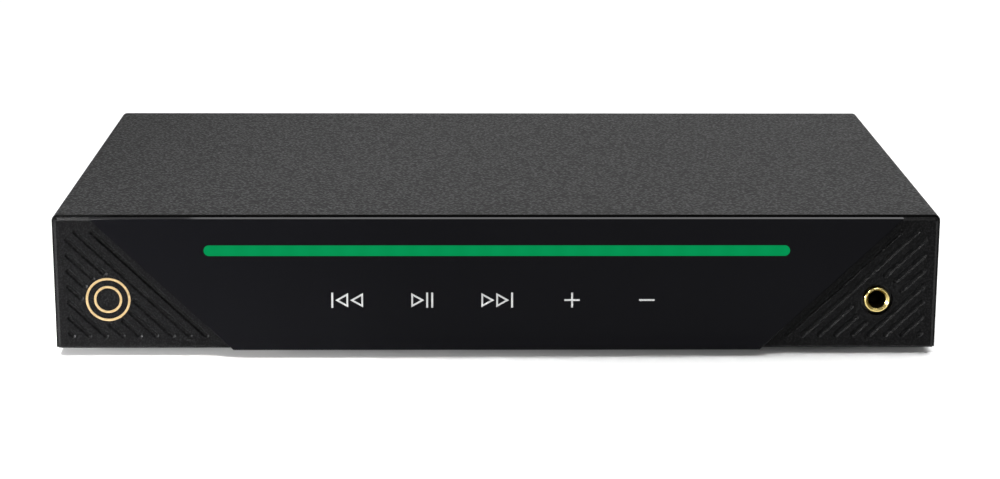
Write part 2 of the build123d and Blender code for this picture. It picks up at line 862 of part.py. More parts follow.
with BuildPart() as light_bar_board:
    block(
        (-bar_board_half, bar_board_half),
        (bar_flange_back_y, bar_board_back_y),
        around(bar_z, bar_board_height),
    )
    for x, z in bar_board_screws:
        rod_y(screw_hole_radius, x, z, (bar_flange_back_y, bar_board_back_y), Mode.SUBTRACT)

with BuildPart() as light_bar_leds:
    led_pitch = bar_length / led_count
    led_span_y = (bar_flange_back_y - led_height, bar_flange_back_y)
    for step in range(led_count):
        led_x = (step - (led_count - 1) / 2) * led_pitch
        block(around(led_x, led_size), led_span_y, around(bar_z, led_size))

# Touch board with a sensing spring behind each symbol
with BuildPart() as touch_board:
    block((-touch_half, touch_half), (touch_front_y, touch_back_y), around(key_z, touch_board_height))
    for x, z in touch_board_screws:
        rod_y(screw_hole_radius, x, z, (touch_front_y, touch_back_y), Mode.SUBTRACT)

with BuildPart() as touch_springs:
    for x in key_places:
        rod_y(spring_radius, x, key_z, (front_y, touch_front_y))
        rod_y(spring_radius - spring_wire, x, key_z, (front_y, touch_front_y), Mode.SUBTRACT)

# Headphone socket: a gilt sleeve in a black body on its own board
jack_body_front_y = frame_back_y + fit_gap
jack_sleeve_end_y = jack_body_front_y + jack_sleeve_length
jack_nose_front_y = front_y - jack_nose_proud
with BuildPart() as headphone_sleeve:
    rod_y(jack_nose_radius, jack_x, jack_z, (jack_nose_front_y, jack_body_front_y))
    fillet(headphone_sleeve.edges().group_by(Axis.Y)[0], jack_nose_round)
    rod_y(jack_sleeve_radius, jack_x, jack_z, (jack_body_front_y, jack_sleeve_end_y))
    rod_y(jack_bore_radius, jack_x, jack_z, (jack_nose_front_y, jack_sleeve_end_y), Mode.SUBTRACT)
    chamfer(headphone_sleeve.edges().filter_by(GeomType.CIRCLE).group_by(Axis.Y)[0], jack_nose_funnel)

jack_contact_places = [
    jack_sleeve_end_y + (step + 0.5) * jack_contact_pitch for step in range(3)
]
jack_contact_top_z = jack_z - jack_sleeve_radius
with BuildPart() as headphone_body:
    body_span_y = (jack_body_front_y, jack_body_front_y + jack_body_length)
    block(around(jack_x, jack_body_size), body_span_y, around(jack_z, jack_body_size))
    bore_span_y = (jack_body_front_y, jack_body_front_y + jack_bore_end)
    rod_y(jack_sleeve_radius + inlay_gap, jack_x, jack_z, bore_span_y, Mode.SUBTRACT)
    for y in jack_contact_places:
        block(
            around(jack_x, jack_contact_width),
            around(y, jack_contact_thickness),
            (headphone_deck_z, jack_z - jack_bore_radius),
            Mode.SUBTRACT,
        )

with BuildPart() as headphone_contacts:
    for y in jack_contact_places:
        block(
            around(jack_x, jack_contact_width),
            around(y, jack_contact_thickness),
            (headphone_deck_z, jack_contact_top_z),
        )

# Circuit boards on the base
board_pieces = {}
board_names = ("supply_board", "main_board", "dac_board", "headphone_board")
for board_name, outline in zip(board_names, board_outlines):
    left, right, front, rear, low_z = outline
    with BuildPart() as board:
        block((left, right), (front, rear), (low_z, low_z + board_thickness))
        for x in (left + board_hole_inset, right - board_hole_inset):
            for y in (front + board_hole_inset, rear - board_hole_inset):
                rod_z(screw_hole_radius, x, y, (low_z, low_z + board_thickness), Mode.SUBTRACT)
    board_pieces[board_name] = board

with BuildPart() as board_standoffs:
    for x, y, low_z in standoff_places:
        with BuildSketch(Plane.XY.offset(floor_z)):
            with Locations((x, y)):
                RegularPolygon(standoff_flat / 2, 6, major_radius=False)
                Circle(screw_hole_radius, mode=Mode.SUBTRACT)
        extrude(amount=low_z - floor_z)

# Pan head screws of the boards and of the front frame
with BuildPart() as chassis_screws:
    for x in frame_screw_places:
        with Locations(Location((x, base_front_y + sheet, frame_screw_z), (-90, 0, 0))):
            add(pan_screw.part)
    for x, y, low_z in standoff_places:
        with Locations((x, y, low_z + board_thickness), Location((x, y, base_z), (180, 0, 0))):
            add(pan_screw.part)
    for x, z in bar_board_screws:
        with Locations(Location((x, bar_board_back_y, z), (-90, 0, 0))):
            add(pan_screw.part)
    for x, z in touch_board_screws:
        with Locations(Location((x, touch_back_y, z), (-90, 0, 0))):
            add(pan_screw.part)

# Mains inlet: a shrouded recess for the plug with a fuse drawer under it
blade_places = [
    (inlet_x - blade_spacing / 2, recess_z - blade_offset),
    (inlet_x, recess_z + blade_offset),
    (inlet_x + blade_spacing / 2, recess_z - blade_offset),
]
terminal_places = [(switch_x, switch_z + terminal_spread), (switch_x, switch_z - terminal_spread)]
drawer_inner_y = inlet_face_y - drawer_depth
with BuildPart() as mains_inlet:
    flange_span_y = (rear_face_y, inlet_face_y)
    block(around(inlet_x, inlet_flange_width), flange_span_y, around(inlet_z, inlet_flange_height))
    body_span_y = (inlet_back_y, rear_face_y)
    block(around(inlet_x, inlet_body_width), body_span_y, around(inlet_z, inlet_body_height))
    with BuildSketch(front_plane(inlet_face_y)):
        with Locations((inlet_x, recess_z)):
            recess_outline = Rectangle(recess_width, recess_height)
        chamfer(recess_outline.vertices().group_by(Axis.Y)[-1], recess_corner)
    extrude(amount=inlet_recess_depth, mode=Mode.SUBTRACT)
    block(
        around(inlet_x, drawer_width + 2 * drawer_gap),
        (drawer_inner_y - drawer_gap, inlet_face_y),
        around(drawer_z, drawer_height + 2 * drawer_gap),
        Mode.SUBTRACT,
    )
    for x, z in blade_places:
        block(around(x, blade_width), (inlet_back_y, inlet_floor_y), around(z, blade_height), Mode.SUBTRACT)

with BuildPart() as fuse_drawer:
    block(
        around(inlet_x, drawer_face_width),
        (inlet_face_y, inlet_face_y + drawer_face_depth),
        around(drawer_z, drawer_face_height),
    )
    fillet(fuse_drawer.faces().sort_by(Axis.Y)[-1].edges(), drawer_face_depth / 4)
    block(
        around(inlet_x, drawer_face_width / 2),
        (inlet_face_y + drawer_face_depth, inlet_face_y + drawer_face_depth + drawer_grip_depth),
        (drawer_z - drawer_face_height / 4, drawer_z - drawer_face_height / 4 + drawer_grip_height),
    )
    block(around(inlet_x, drawer_width), (drawer_inner_y, inlet_face_y), around(drawer_z, drawer_height))
    fuse_y = drawer_inner_y + drawer_depth / 2
    fuse_z = drawer_z + fuse_gap
    block(
        around(inlet_x, fuse_length + 2 * fuse_gap),
        around(fuse_y, 2 * (fuse_cap_radius + fuse_gap)),
        (fuse_z - fuse_cap_radius - fuse_gap, drawer_z + drawer_height / 2),
        Mode.SUBTRACT,
    )

with BuildPart() as fuse:
    glass_half = fuse_length / 2 - fuse_cap_length
    rod_x(fuse_glass_radius, fuse_y, fuse_z, (inlet_x - glass_half, inlet_x + glass_half))
    rod_x(fuse_cap_radius, fuse_y, fuse_z, (inlet_x - fuse_length / 2, inlet_x - glass_half))
    rod_x(fuse_cap_radius, fuse_y, fuse_z, (inlet_x + glass_half, inlet_x + fuse_length / 2))

# Blades of the inlet and of the switch
with BuildPart() as mains_blades:
    for x, z in blade_places:
        block(
            around(x, blade_width),
            (inlet_back_y - blade_tail, inlet_face_y - blade_inset),
            around(z, blade_height),
        )
    tail_span_y = (switch_back_y - blade_tail, switch_back_y)
    for x, z in terminal_places:
        block(around(x, blade_height), tail_span_y, around(z, blade_width / 2))

# Power switch: a rocker on two stub pivots in a snap-in housing, at rest tipped to on
with BuildPart() as switch_housing:
    flange_span_y = (rear_face_y, switch_face_y)
    block(around(switch_x, switch_flange_width), flange_span_y, around(switch_z, switch_flange_height))
    fillet(switch_housing.faces().sort_by(Axis.Y)[-1].edges(), switch_flange_depth / 4)
    body_span_y = (switch_back_y, rear_face_y)
    block(around(switch_x, switch_body_width), body_span_y, around(switch_z, switch_body_height))
    well_span_y = (switch_face_y - well_depth, switch_face_y)
    block(around(switch_x, well_width), well_span_y, around(switch_z, well_height), Mode.SUBTRACT)
    rod_x(pivot_radius + pivot_gap, pivot_y, switch_z, around(switch_x, switch_body_width), Mode.SUBTRACT)

tip_height = sqrt(rocker_end_radius**2 - rocker_tip**2)
back_height = sqrt(rocker_end_radius**2 - rocker_back**2)
tilt = radians(rocker_tilt)


def rocker_point(out, up):
    """A point of the rocker's outline, tipped to the on side."""
    return (pivot_y + out * cos(tilt) - up * sin(tilt), switch_z + out * sin(tilt) + up * cos(tilt))


with BuildPart() as power_rocker:
    with BuildSketch(Plane.YZ.offset(switch_x - rocker_width / 2)):
        with BuildLine():
            Polyline(
                rocker_point(rocker_tip, tip_height),
                rocker_point(rocker_middle, 0),
                rocker_point(rocker_tip, -tip_height),
            )
            ThreePointArc(
                rocker_point(rocker_tip, -tip_height),
                rocker_point(0, -rocker_end_radius),
                rocker_point(-rocker_back, -back_height),
            )
            Line(rocker_point(-rocker_back, -back_height), rocker_point(-rocker_back, back_height))
            ThreePointArc(
                rocker_point(-rocker_back, back_height),
                rocker_point(0, rocker_end_radius),
                rocker_point(rocker_tip, tip_height),
            )
        make_face()
    extrude(amount=rocker_width)
    rod_x(pivot_radius, pivot_y, switch_z, around(switch_x, switch_body_width - 2 * pivot_gap))

# Network socket with its row of contacts
with BuildPart() as ethernet_socket:
    ethernet_back_y = socket_face_y - ethernet_depth
    ethernet_span_z = (deck_z, deck_z + ethernet_height)
    block(around(ethernet_x, ethernet_width), (ethernet_back_y, socket_face_y), ethernet_span_z)
    mouth_low_z = deck_z + ethernet_mouth_rise
    mouth_high_z = mouth_low_z + ethernet_mouth_height
    mouth_back_y = socket_face_y - ethernet_mouth_depth
    mouth_span = around(ethernet_x, ethernet_mouth_width)
    block(mouth_span, (mouth_back_y, socket_face_y), (mouth_low_z, mouth_high_z), Mode.SUBTRACT)
    latch_span_y = (socket_face_y - latch_depth, socket_face_y)
    latch_span_z = (mouth_low_z - latch_height, mouth_low_z)
    block(around(ethernet_x, latch_width), latch_span_y, latch_span_z, Mode.SUBTRACT)

with BuildPart() as ethernet_contacts:
    for step in range(contact_count):
        contact_x = ethernet_x + (step - (contact_count - 1) / 2) * contact_pitch
        block(
            around(contact_x, contact_width),
            (mouth_back_y, mouth_back_y + contact_length),
            (mouth_high_z - contact_height, mouth_high_z),
        )

# Two stacked USB sockets
usb_slots = [deck_z + usb_slot_rise + step * usb_slot_pitch for step in range(2)]
usb_slot_back_y = socket_face_y - usb_slot_depth
with BuildPart() as usb_socket:
    block(around(usb_x, usb_width), (socket_face_y - usb_depth, socket_face_y), (deck_z, deck_z + usb_height))
    for z in usb_slots:
        slot_span_y = (usb_slot_back_y, socket_face_y)
        block(around(usb_x, usb_slot_width), slot_span_y, around(z, usb_slot_height), Mode.SUBTRACT)

with BuildPart() as usb_tongues:
    for z in usb_slots:
        tongue_span_z = (z + tongue_rise, z + tongue_rise + tongue_height)
        block(around(usb_x, tongue_width), (usb_slot_back_y, usb_slot_back_y + tongue_length), tongue_span_z)

# Reset key: a small push switch with a long round button through the rear panel
reset_front_y = rear_inner_y - reset_button_start
reset_body_back_y = reset_front_y - reset_body_depth
reset_collar_y = reset_front_y - reset_travel - reset_collar_length
with BuildPart() as reset_switch:
    reset_span_y = (reset_body_back_y, reset_front_y)
    block(around(reset_x, reset_body_width), reset_span_y, (deck_z, deck_z + reset_body_height))
    button_hole_radius = reset_button_radius + reset_button_gap
    collar_hole_radius = reset_collar_radius + reset_button_gap
    rod_y(button_hole_radius, reset_x, reset_z, (reset_collar_y, reset_front_y), Mode.SUBTRACT)
    collar_room_y = (reset_collar_y - reset_travel - reset_button_gap, reset_collar_y + reset_collar_length)
    rod_y(collar_hole_radius, reset_x, reset_z, collar_room_y, Mode.SUBTRACT)

with BuildPart() as reset_button:
    rod_y(reset_button_radius, reset_x, reset_z, (reset_collar_y, rear_face_y + reset_button_reach))
    fillet(reset_button.edges().group_by(Axis.Y)[-1], reset_button_radius / 5)
    rod_y(reset_collar_radius, reset_x, reset_z, (reset_collar_y, reset_collar_y + reset_collar_length))

# Phono sockets: gilt barrels with coloured cores, on black blocks
with BuildPart() as rca_barrels:
    for x in rca_places:
        rod_y(rca_barrel_radius, x, rca_z, (rear_inner_y, rca_end_y))
    fillet(rca_barrels.edges().group_by(Axis.Y)[-1], rca_barrel_round)
    for x in rca_places:
        rod_y(rca_flange_radius, x, rca_z, (rear_face_y, rear_face_y + rca_flange_depth))
        rod_y(rca_barrel_bore, x, rca_z, (rear_inner_y, rca_end_y), Mode.SUBTRACT)

with BuildPart() as rca_blocks:
    for x in rca_places:
        block_span_y = (rear_inner_y - rca_block_depth, rear_inner_y)
        block(around(x, rca_block_width), block_span_y, (deck_z, deck_z + rca_block_height))

cores = {}
for core_name, x in zip(("rca_core_left", "rca_core_right", "coax_core"), rca_places):
    with BuildPart() as core:
        core_end_y = rca_end_y - rca_core_set_back
        rod_y(rca_barrel_bore - inlay_gap, x, rca_z, (rear_inner_y, core_end_y))
        rod_y(rca_pin_bore, x, rca_z, (core_end_y - rca_pin_depth, core_end_y), Mode.SUBTRACT)
    cores[core_name] = core

# Optical socket with a hinged dust shutter
optical_low_z = deck_z + optical_mouth_low
optical_high_z = deck_z + optical_mouth_high
shutter_front_y = optical_face_y - shutter_set_back
shutter_y = shutter_front_y - shutter_thickness / 2
shutter_z = optical_high_z - shutter_thickness / 2 - shutter_side_gap
with BuildPart() as optical_socket:
    optical_span_y = (optical_face_y - optical_depth, optical_face_y)
    block(around(optical_x, optical_width), optical_span_y, (deck_z, deck_z + optical_height))
    mouth_span_y = (optical_face_y - optical_mouth_depth, optical_face_y)
    mouth_span_z = (optical_low_z, optical_high_z)
    block(around(optical_x, optical_mouth_width), mouth_span_y, mouth_span_z, Mode.SUBTRACT)
    pin_hole_span = around(optical_x, optical_mouth_width + 2 * (shutter_pin_reach + shutter_side_gap))
    rod_x(shutter_pin_radius + shutter_pin_gap, shutter_y, shutter_z, pin_hole_span, Mode.SUBTRACT)

with BuildPart() as optical_shutter:
    shutter_width = optical_mouth_width - 2 * shutter_side_gap
    shutter_span_y = (shutter_y - shutter_thickness / 2, shutter_front_y)
    shutter_span_z = (optical_low_z + shutter_bottom_gap, shutter_z)
    block(around(optical_x, shutter_width), shutter_span_y, shutter_span_z)
    rod_x(shutter_thickness / 2, shutter_y, shutter_z, around(optical_x, shutter_width))
    pin_span = around(optical_x, optical_mouth_width + 2 * shutter_pin_reach)
    rod_x(shutter_pin_radius, shutter_y, shutter_z, pin_span)

# Ring transformer between two pads, held by a dished plate on a stud
winding_low_z = floor_z + transformer_pad
clamp_top_z = ceiling_z - nut_head_space - nut_height
winding_high_z = clamp_top_z - clamp_thickness - transformer_pad
with BuildPart() as transformer_winding:
    winding_plane = Plane(
        origin=(transformer_x, transformer_y, (winding_low_z + winding_high_z) / 2),
        x_dir=(1, 0, 0),
        z_dir=(0, -1, 0),
    )
    with BuildSketch(winding_plane):
        with Locations(((transformer_radius + transformer_hole) / 2, 0)):
            RectangleRounded(
                transformer_radius - transformer_hole, winding_high_z - winding_low_z, transformer_round
            )
    revolve(axis=Axis((transformer_x, transformer_y, 0), (0, 0, 1)))

with BuildPart() as transformer_pads:
    pad_radius = transformer_radius - transformer_pad_margin
    for low_z, radius in ((floor_z, pad_radius), (winding_high_z, clamp_radius)):
        pad_span_z = (low_z, low_z + transformer_pad)
        rod_z(radius, transformer_x, transformer_y, pad_span_z)
        rod_z(stud_radius + stud_gap, transformer_x, transformer_y, pad_span_z, Mode.SUBTRACT)

with BuildPart() as transformer_clamp:
    clamp_span_z = (clamp_top_z - clamp_thickness, clamp_top_z)
    rod_z(clamp_radius, transformer_x, transformer_y, clamp_span_z)
    rod_z(stud_radius + stud_gap, transformer_x, transformer_y, clamp_span_z, Mode.SUBTRACT)

# The stud welded to the floor, and its nut
with BuildPart() as transformer_fixing:
    rod_z(stud_radius, transformer_x, transformer_y, (floor_z, clamp_top_z + nut_height + nut_head_space / 2))
    with BuildSketch(Plane.XY.offset(clamp_top_z)):
        with Locations((transformer_x, transformer_y)):
            RegularPolygon(nut_flat / 2, 6, major_radius=False)
            Circle(stud_radius + inlay_gap, mode=Mode.SUBTRACT)
    extrude(amount=nut_height)

# Power supply parts
supply_y = (supply_front_y + supply_rear_y) / 2
heatsink_x = supply_right - heatsink_edge - heatsink_fin_reach - heatsink_plate
with BuildPart() as supply_capacitors:
    capacitor_x = supply_left + plug_edge + mains_plug_width + plug_edge + capacitor_radius
    for row in (-1, 1):
        y = supply_y + row * capacitor_pitch / 2
        rod_z(capacitor_radius, capacitor_x, y, (deck_z, deck_z + capacitor_height))
    fillet(supply_capacitors.edges().group_by(Axis.Z)[-1], capacitor_round)

with BuildPart() as supply_heatsink:
    sink_span_z = (deck_z, deck_z + heatsink_height)
    block((heatsink_x, heatsink_x + heatsink_plate), around(supply_y, heatsink_length), sink_span_z)
    fin_pitch = (heatsink_length - heatsink_fin) / (heatsink_fin_count - 1)
    for step in range(heatsink_fin_count):
        fin_y = supply_y + (step - (heatsink_fin_count - 1) / 2) * fin_pitch
        fin_x = heatsink_x + heatsink_plate
        block((fin_x, fin_x + heatsink_fin_reach), around(fin_y, heatsink_fin), sink_span_z)

with BuildPart() as supply_regulators:
    for step in (-1, 0, 1):
        regulator_y = supply_y + step * regulator_pitch
        block(
            (heatsink_x - regulator_depth, heatsink_x),
            around(regulator_y, regulator_width),
            (deck_z, deck_z + regulator_height),
        )

# Chips: the processor under its heatsink, and the converters on the audio board
processor_x = (main_left + main_right) / 2
processor_y = (main_front_y + board_rear_y) / 2 - processor_size / 2
dac_x = (dac_left + dac_right) / 2
dac_y = (dac_front_y + board_rear_y) / 2
with BuildPart() as board_chips:
    chip_span_z = (deck_z, deck_z + processor_height)
    block(around(processor_x, processor_size), around(processor_y, processor_size), chip_span_z)
    for step in (-1, 0, 1):
        converter_span_z = (deck_z, deck_z + converter_height)
        block(
            around(dac_x + step * converter_pitch, converter_size),
            around(dac_y - converter_size, converter_size),
            converter_span_z,
        )

with BuildPart() as processor_heatsink:
    sink_low_z = deck_z + processor_height
    sink_plate_z = sink_low_z + processor_plate
    sink_span_y = around(processor_y, processor_size)
    block(around(processor_x, processor_size), sink_span_y, (sink_low_z, sink_plate_z))
    fin_thickness = processor_size / (2 * processor_fin_count)
    for step in range(processor_fin_count):
        fin_x = processor_x + (step - (processor_fin_count - 1) / 2) * 2 * fin_thickness
        fin_span_z = (sink_plate_z, sink_plate_z + processor_fin_height)
        block(around(fin_x, fin_thickness), sink_span_y, fin_span_z)

# Plugs on the boards for the wires and ribbons
supply_plug_x = main_left + board_hole_inset + plug_width
bridge_y = dac_front_y + 3 * plug_width
touch_plug_y = touch_back_y + ribbon_plug_depth
front_ribbon_x = supply_right + plug_edge / 2 + ribbon_width / 2
headphone_ribbon_x = jack_x
mains_plug_x = supply_left + plug_edge + mains_plug_width / 2
mains_plug_rear_y = supply_rear_y - plug_edge - 2 * board_hole_inset
leads_y = transformer_y
with BuildPart() as board_plugs:
    plug_span_z = (deck_z, deck_z + plug_height)
    plug_end = plug_edge + plug_depth
    for plug_span_y in (
        (supply_rear_y - plug_end, supply_rear_y - plug_edge),
        (main_front_y + plug_edge, main_front_y + plug_end),
    ):
        block(around(supply_plug_x, plug_width), plug_span_y, plug_span_z)
    for plug_span_x, plug_y in (
        ((main_right - plug_end, main_right - plug_edge), bridge_y),
        ((dac_left + plug_edge, dac_left + plug_end), bridge_y),
        ((supply_left + plug_edge, supply_left + plug_end), leads_y),
    ):
        block(plug_span_x, around(plug_y, plug_width), plug_span_z)
    block(
        around(mains_plug_x, mains_plug_width),
        (mains_plug_rear_y - mains_plug_depth, mains_plug_rear_y),
        (deck_z, deck_z + mains_plug_height),
    )
    ribbon_plug_z = (deck_z, deck_z + ribbon_plug_height)
    block(
        around(front_ribbon_x, ribbon_width),
        (main_front_y + plug_edge, main_front_y + plug_edge + ribbon_plug_depth),
        ribbon_plug_z,
    )
    block(
        around(front_ribbon_x, ribbon_width),
        (touch_back_y, touch_plug_y),
        around(key_z, ribbon_plug_height),
    )
    block(
        around(headphone_ribbon_x, ribbon_width),
        (headphone_rear_y - plug_edge - ribbon_plug_depth, headphone_rear_y - plug_edge),
        (headphone_deck_z, headphone_deck_z + ribbon_plug_height),
    )
    block(
        around(headphone_ribbon_x, ribbon_width),
        (dac_front_y + plug_edge, dac_front_y + plug_edge + ribbon_plug_depth),
        ribbon_plug_z,
    )

# Wires between the boards and from the transformer
wire_z = deck_z + plug_height / 2
wire_steps = [(step - (wire_count - 1) / 2) * wire_pitch for step in range(wire_count)]
with BuildPart() as board_wires:
    supply_wire_span = (supply_rear_y - plug_edge, main_front_y + plug_edge)
    for step in wire_steps:
        rod_y(wire_radius, supply_plug_x + step, wire_z, supply_wire_span)
        rod_x(wire_radius, bridge_y + step, wire_z, (main_right - plug_edge, dac_left + plug_edge))
        rod_x(
            wire_radius,
            leads_y + step,
            wire_z,
            (transformer_x + transformer_radius, supply_left + plug_edge),
        )

# Mains wires: inlet to switch, and switch to the supply board
live_z = recess_z - blade_offset
mains_start_y = inlet_back_y - blade_tail
mains_turn_y = mains_start_y - mains_wire_run
switch_end_y = switch_back_y - blade_tail
upper_z = switch_z + terminal_spread
lower_z = switch_z - terminal_spread
live_x = inlet_x + blade_spacing / 2
live_route = [
    (live_x, mains_start_y, live_z),
    (live_x, mains_turn_y, live_z),
    (switch_x, mains_turn_y, upper_z),
    (switch_x, switch_end_y, upper_z),
]
mains_plug_z = deck_z + mains_plug_height / 2
switched_route = [
    (switch_x, switch_end_y, lower_z),
    (switch_x, mains_turn_y - mains_wire_run, lower_z),
    (mains_plug_x, mains_turn_y - mains_wire_run, mains_plug_z),
    (mains_plug_x, mains_plug_rear_y, mains_plug_z),
]
with BuildPart() as mains_wires:
    for route in (live_route, switched_route):
        with BuildLine() as wire_path:
            FilletPolyline(*route, radius=mains_wire_bend)
        with BuildSketch(Plane(origin=route[0], z_dir=Vector(*route[1]) - Vector(*route[0]))):
            Circle(mains_wire_radius)
        sweep(path=wire_path.line)


def strip(route):
    """The outline of a thin ribbon along a route in Y and Z."""
    lift = ribbon_thickness / 2
    return [(y, z + lift) for y, z in route] + [(y, z - lift) for y, z in reversed(route)]


# Ribbon cables: front keys to the main board, and audio board to the headphone board
front_ribbon_route = [
    (touch_plug_y, key_z),
    (main_front_y - 2 * ribbon_drop, key_z),
    (main_front_y - ribbon_drop / 2, deck_z + ribbon_plug_height / 2),
    (main_front_y + plug_edge, deck_z + ribbon_plug_height / 2),
]
headphone_ribbon_route = [
    (headphone_rear_y - plug_edge, headphone_deck_z + ribbon_plug_height / 2),
    (headphone_rear_y + ribbon_drop / 2, headphone_deck_z + ribbon_plug_height / 2),
    (dac_front_y - ribbon_drop / 2, deck_z + ribbon_plug_height / 2),
    (dac_front_y + plug_edge, deck_z + ribbon_plug_height / 2),
]
ribbon_span = ribbon_width - ribbon_thickness
with BuildPart() as ribbon_cables:
    for ribbon_x, route in (
        (front_ribbon_x, front_ribbon_route),
        (headphone_ribbon_x, headphone_ribbon_route),
    ):
        with BuildSketch(Plane.YZ.offset(ribbon_x - ribbon_span / 2)):
            with BuildLine():
                Polyline(*strip(route), close=True)
            make_face()
        extrude(amount=ribbon_span)

pieces = {
    "top_cover": top_cover,
    "cover_screws": cover_screws,
    "base_tray": base_tray,
    "rear_panel": rear_panel,
    "rear_screws": rear_screws,
    "front_frame": front_frame,
    "front_glass": front_glass,
    "touch_symbols": touch_symbols,
    "badge_rings": badge_rings,
    "light_bar": light_bar,
    "light_bar_board": light_bar_board,
    "light_bar_leds": light_bar_leds,
    "touch_board": touch_board,
    "touch_springs": touch_springs,
    "headphone_sleeve": headphone_sleeve,
    "headphone_body": headphone_body,
    "headphone_contacts": headphone_contacts,
    "board_standoffs": board_standoffs,
    "chassis_screws": chassis_screws,
    "mains_inlet": mains_inlet,
    "mains_blades": mains_blades,
    "fuse_drawer": fuse_drawer,
    "fuse": fuse,
    "switch_housing": switch_housing,
    "power_rocker": power_rocker,
    "ethernet_socket": ethernet_socket,
    "ethernet_contacts": ethernet_contacts,
    "usb_socket": usb_socket,
    "usb_tongues": usb_tongues,
    "reset_switch": reset_switch,
    "reset_button": reset_button,
    "rca_barrels": rca_barrels,
    "rca_blocks": rca_blocks,
    "optical_socket": optical_socket,
    "optical_shutter": optical_shutter,
    "transformer_winding": transformer_winding,
    "transformer_pads": transformer_pads,
    "transformer_clamp": transformer_clamp,
    "transformer_fixing": transformer_fixing,
    "supply_capacitors": supply_capacitors,
    "supply_heatsink": supply_heatsink,
    "supply_regulators": supply_regulators,
    "board_chips": board_chips,
    "processor_heatsink": processor_heatsink,
    "board_plugs": board_plugs,
    "board_wires": board_wires,
    "mains_wires": mains_wires,
    "ribbon_cables": ribbon_cables,
}
pieces.update(feet)
pieces.update(board_pieces)
pieces.update(cores)

os.makedirs("parts", exist_ok=True)
for piece_name, piece in pieces.items():
    piece.part.label = piece_name
    export_step(piece.part, f"parts/{piece_name}.step")
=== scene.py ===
import json
import math

import bmesh
import bpy
from mathutils import Matrix, Vector


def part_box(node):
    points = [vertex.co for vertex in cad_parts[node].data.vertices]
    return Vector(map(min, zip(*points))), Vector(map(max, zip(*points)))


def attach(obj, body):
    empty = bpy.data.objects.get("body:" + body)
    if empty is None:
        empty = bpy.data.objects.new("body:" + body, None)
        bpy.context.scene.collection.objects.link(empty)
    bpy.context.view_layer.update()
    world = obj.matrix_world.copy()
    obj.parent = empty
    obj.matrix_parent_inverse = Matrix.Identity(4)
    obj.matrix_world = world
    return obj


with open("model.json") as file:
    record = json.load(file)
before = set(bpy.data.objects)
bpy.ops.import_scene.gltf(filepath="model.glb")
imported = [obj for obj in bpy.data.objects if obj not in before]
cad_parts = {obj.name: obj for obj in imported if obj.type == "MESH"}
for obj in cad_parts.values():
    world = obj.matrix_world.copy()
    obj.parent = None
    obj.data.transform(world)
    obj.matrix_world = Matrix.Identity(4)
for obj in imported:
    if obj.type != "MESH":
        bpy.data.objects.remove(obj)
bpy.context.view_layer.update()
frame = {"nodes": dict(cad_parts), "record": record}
nodes = frame["nodes"]
MM = 0.001

# Camera: where it stands and how it is turned, solved from the edges of the case
IMAGE_WIDTH = 1000
FOCAL_PIXELS = 2405.74
SENSOR_WIDTH = 36.0
CAMERA_PLACE = Vector((-13.4, -908.2, 247.8)) * MM
CAMERA_PITCH = 0.247261
CAMERA_YAW = 0.0176365
CAMERA_ROLL = -0.00400887

# Rocker: pivot, tilt and face, as in the solids
ROCKER_PIVOT = Vector((-82.0, 86.5, 26.0))
ROCKER_TILT = math.radians(9.0)
ROCKER_TIP = (5.0, 7.0)
ROCKER_MIDDLE = (3.0, 0.0)
MARK_LIFT = 0.04
MARK_THICKNESS = 0.12

# Surfaces: the painted shade along the cover's front edge, relief depths, directions of drawn lines, lamps
# behind the light bar
SEAM_SHADE_BAND = 0.2 * MM
DRAWN_DEPTH = 0.01 * MM
TRACK_DEPTH = 0.03 * MM
TAPE_DEPTH = 0.1 * MM
TAPE_TURNS = 48.0
ALONG_X = (60.0, 4000.0, 4000.0)
ALONG_Y = (4000.0, 60.0, 4000.0)
LED_PITCH = 8.5 * MM

# Studio
FLOOR_REACH = 6.0
SKY_STRENGTH = 0.30


def place_camera():
    """The photograph's view."""
    forward = Vector((
        math.sin(CAMERA_YAW) * math.cos(CAMERA_PITCH),
        math.cos(CAMERA_YAW) * math.cos(CAMERA_PITCH),
        -math.sin(CAMERA_PITCH),
    ))
    level_right = Vector((math.cos(CAMERA_YAW), -math.sin(CAMERA_YAW), 0.0))
    level_down = forward.cross(level_right)
    right = math.cos(CAMERA_ROLL) * level_right + math.sin(CAMERA_ROLL) * level_down
    down = -math.sin(CAMERA_ROLL) * level_right + math.cos(CAMERA_ROLL) * level_down
    data = bpy.data.cameras.new("photo_view")
    data.sensor_fit = "HORIZONTAL"
    data.sensor_width = SENSOR_WIDTH
    data.lens = FOCAL_PIXELS / IMAGE_WIDTH * SENSOR_WIDTH
    data.clip_start = 0.01
    data.clip_end = 50.0
    camera = bpy.data.objects.new("photo_view", data)
    turn = Matrix((right, -down, -forward)).transposed().to_4x4()
    camera.matrix_world = Matrix.Translation(CAMERA_PLACE) @ turn
    bpy.context.scene.collection.objects.link(camera)
    bpy.context.scene.camera = camera


def add_softbox(name, place, target, width, height, watts, spread=180.0):
    """A soft rectangular lamp aimed at a point, with a grid where its light is narrow."""
    data = bpy.data.lights.new(name, "AREA")
    data.shape = "RECTANGLE"
    data.size = width
    data.size_y = height
    data.energy = watts
    data.spread = math.radians(spread)
    lamp = bpy.data.objects.new(name, data)
    lamp.location = place
    lamp.rotation_euler = (Vector(target) - Vector(place)).to_track_quat("-Z", "Y").to_euler()
    bpy.context.scene.collection.objects.link(lamp)


# Shader helpers


def grey(level):
    """A plain grey."""
    return (level, level, level)


def add_node(tree, kind, **settings):
    """A node with its plain settings."""
    node = tree.nodes.new(kind)
    for key, value in settings.items():
        setattr(node, key, value)
    return node


def set_inputs(node, **values):
    """Sets input values by socket name, with spaces written as underscores."""
    for key, value in values.items():
        node.inputs[key.replace("_", " ")].default_value = value


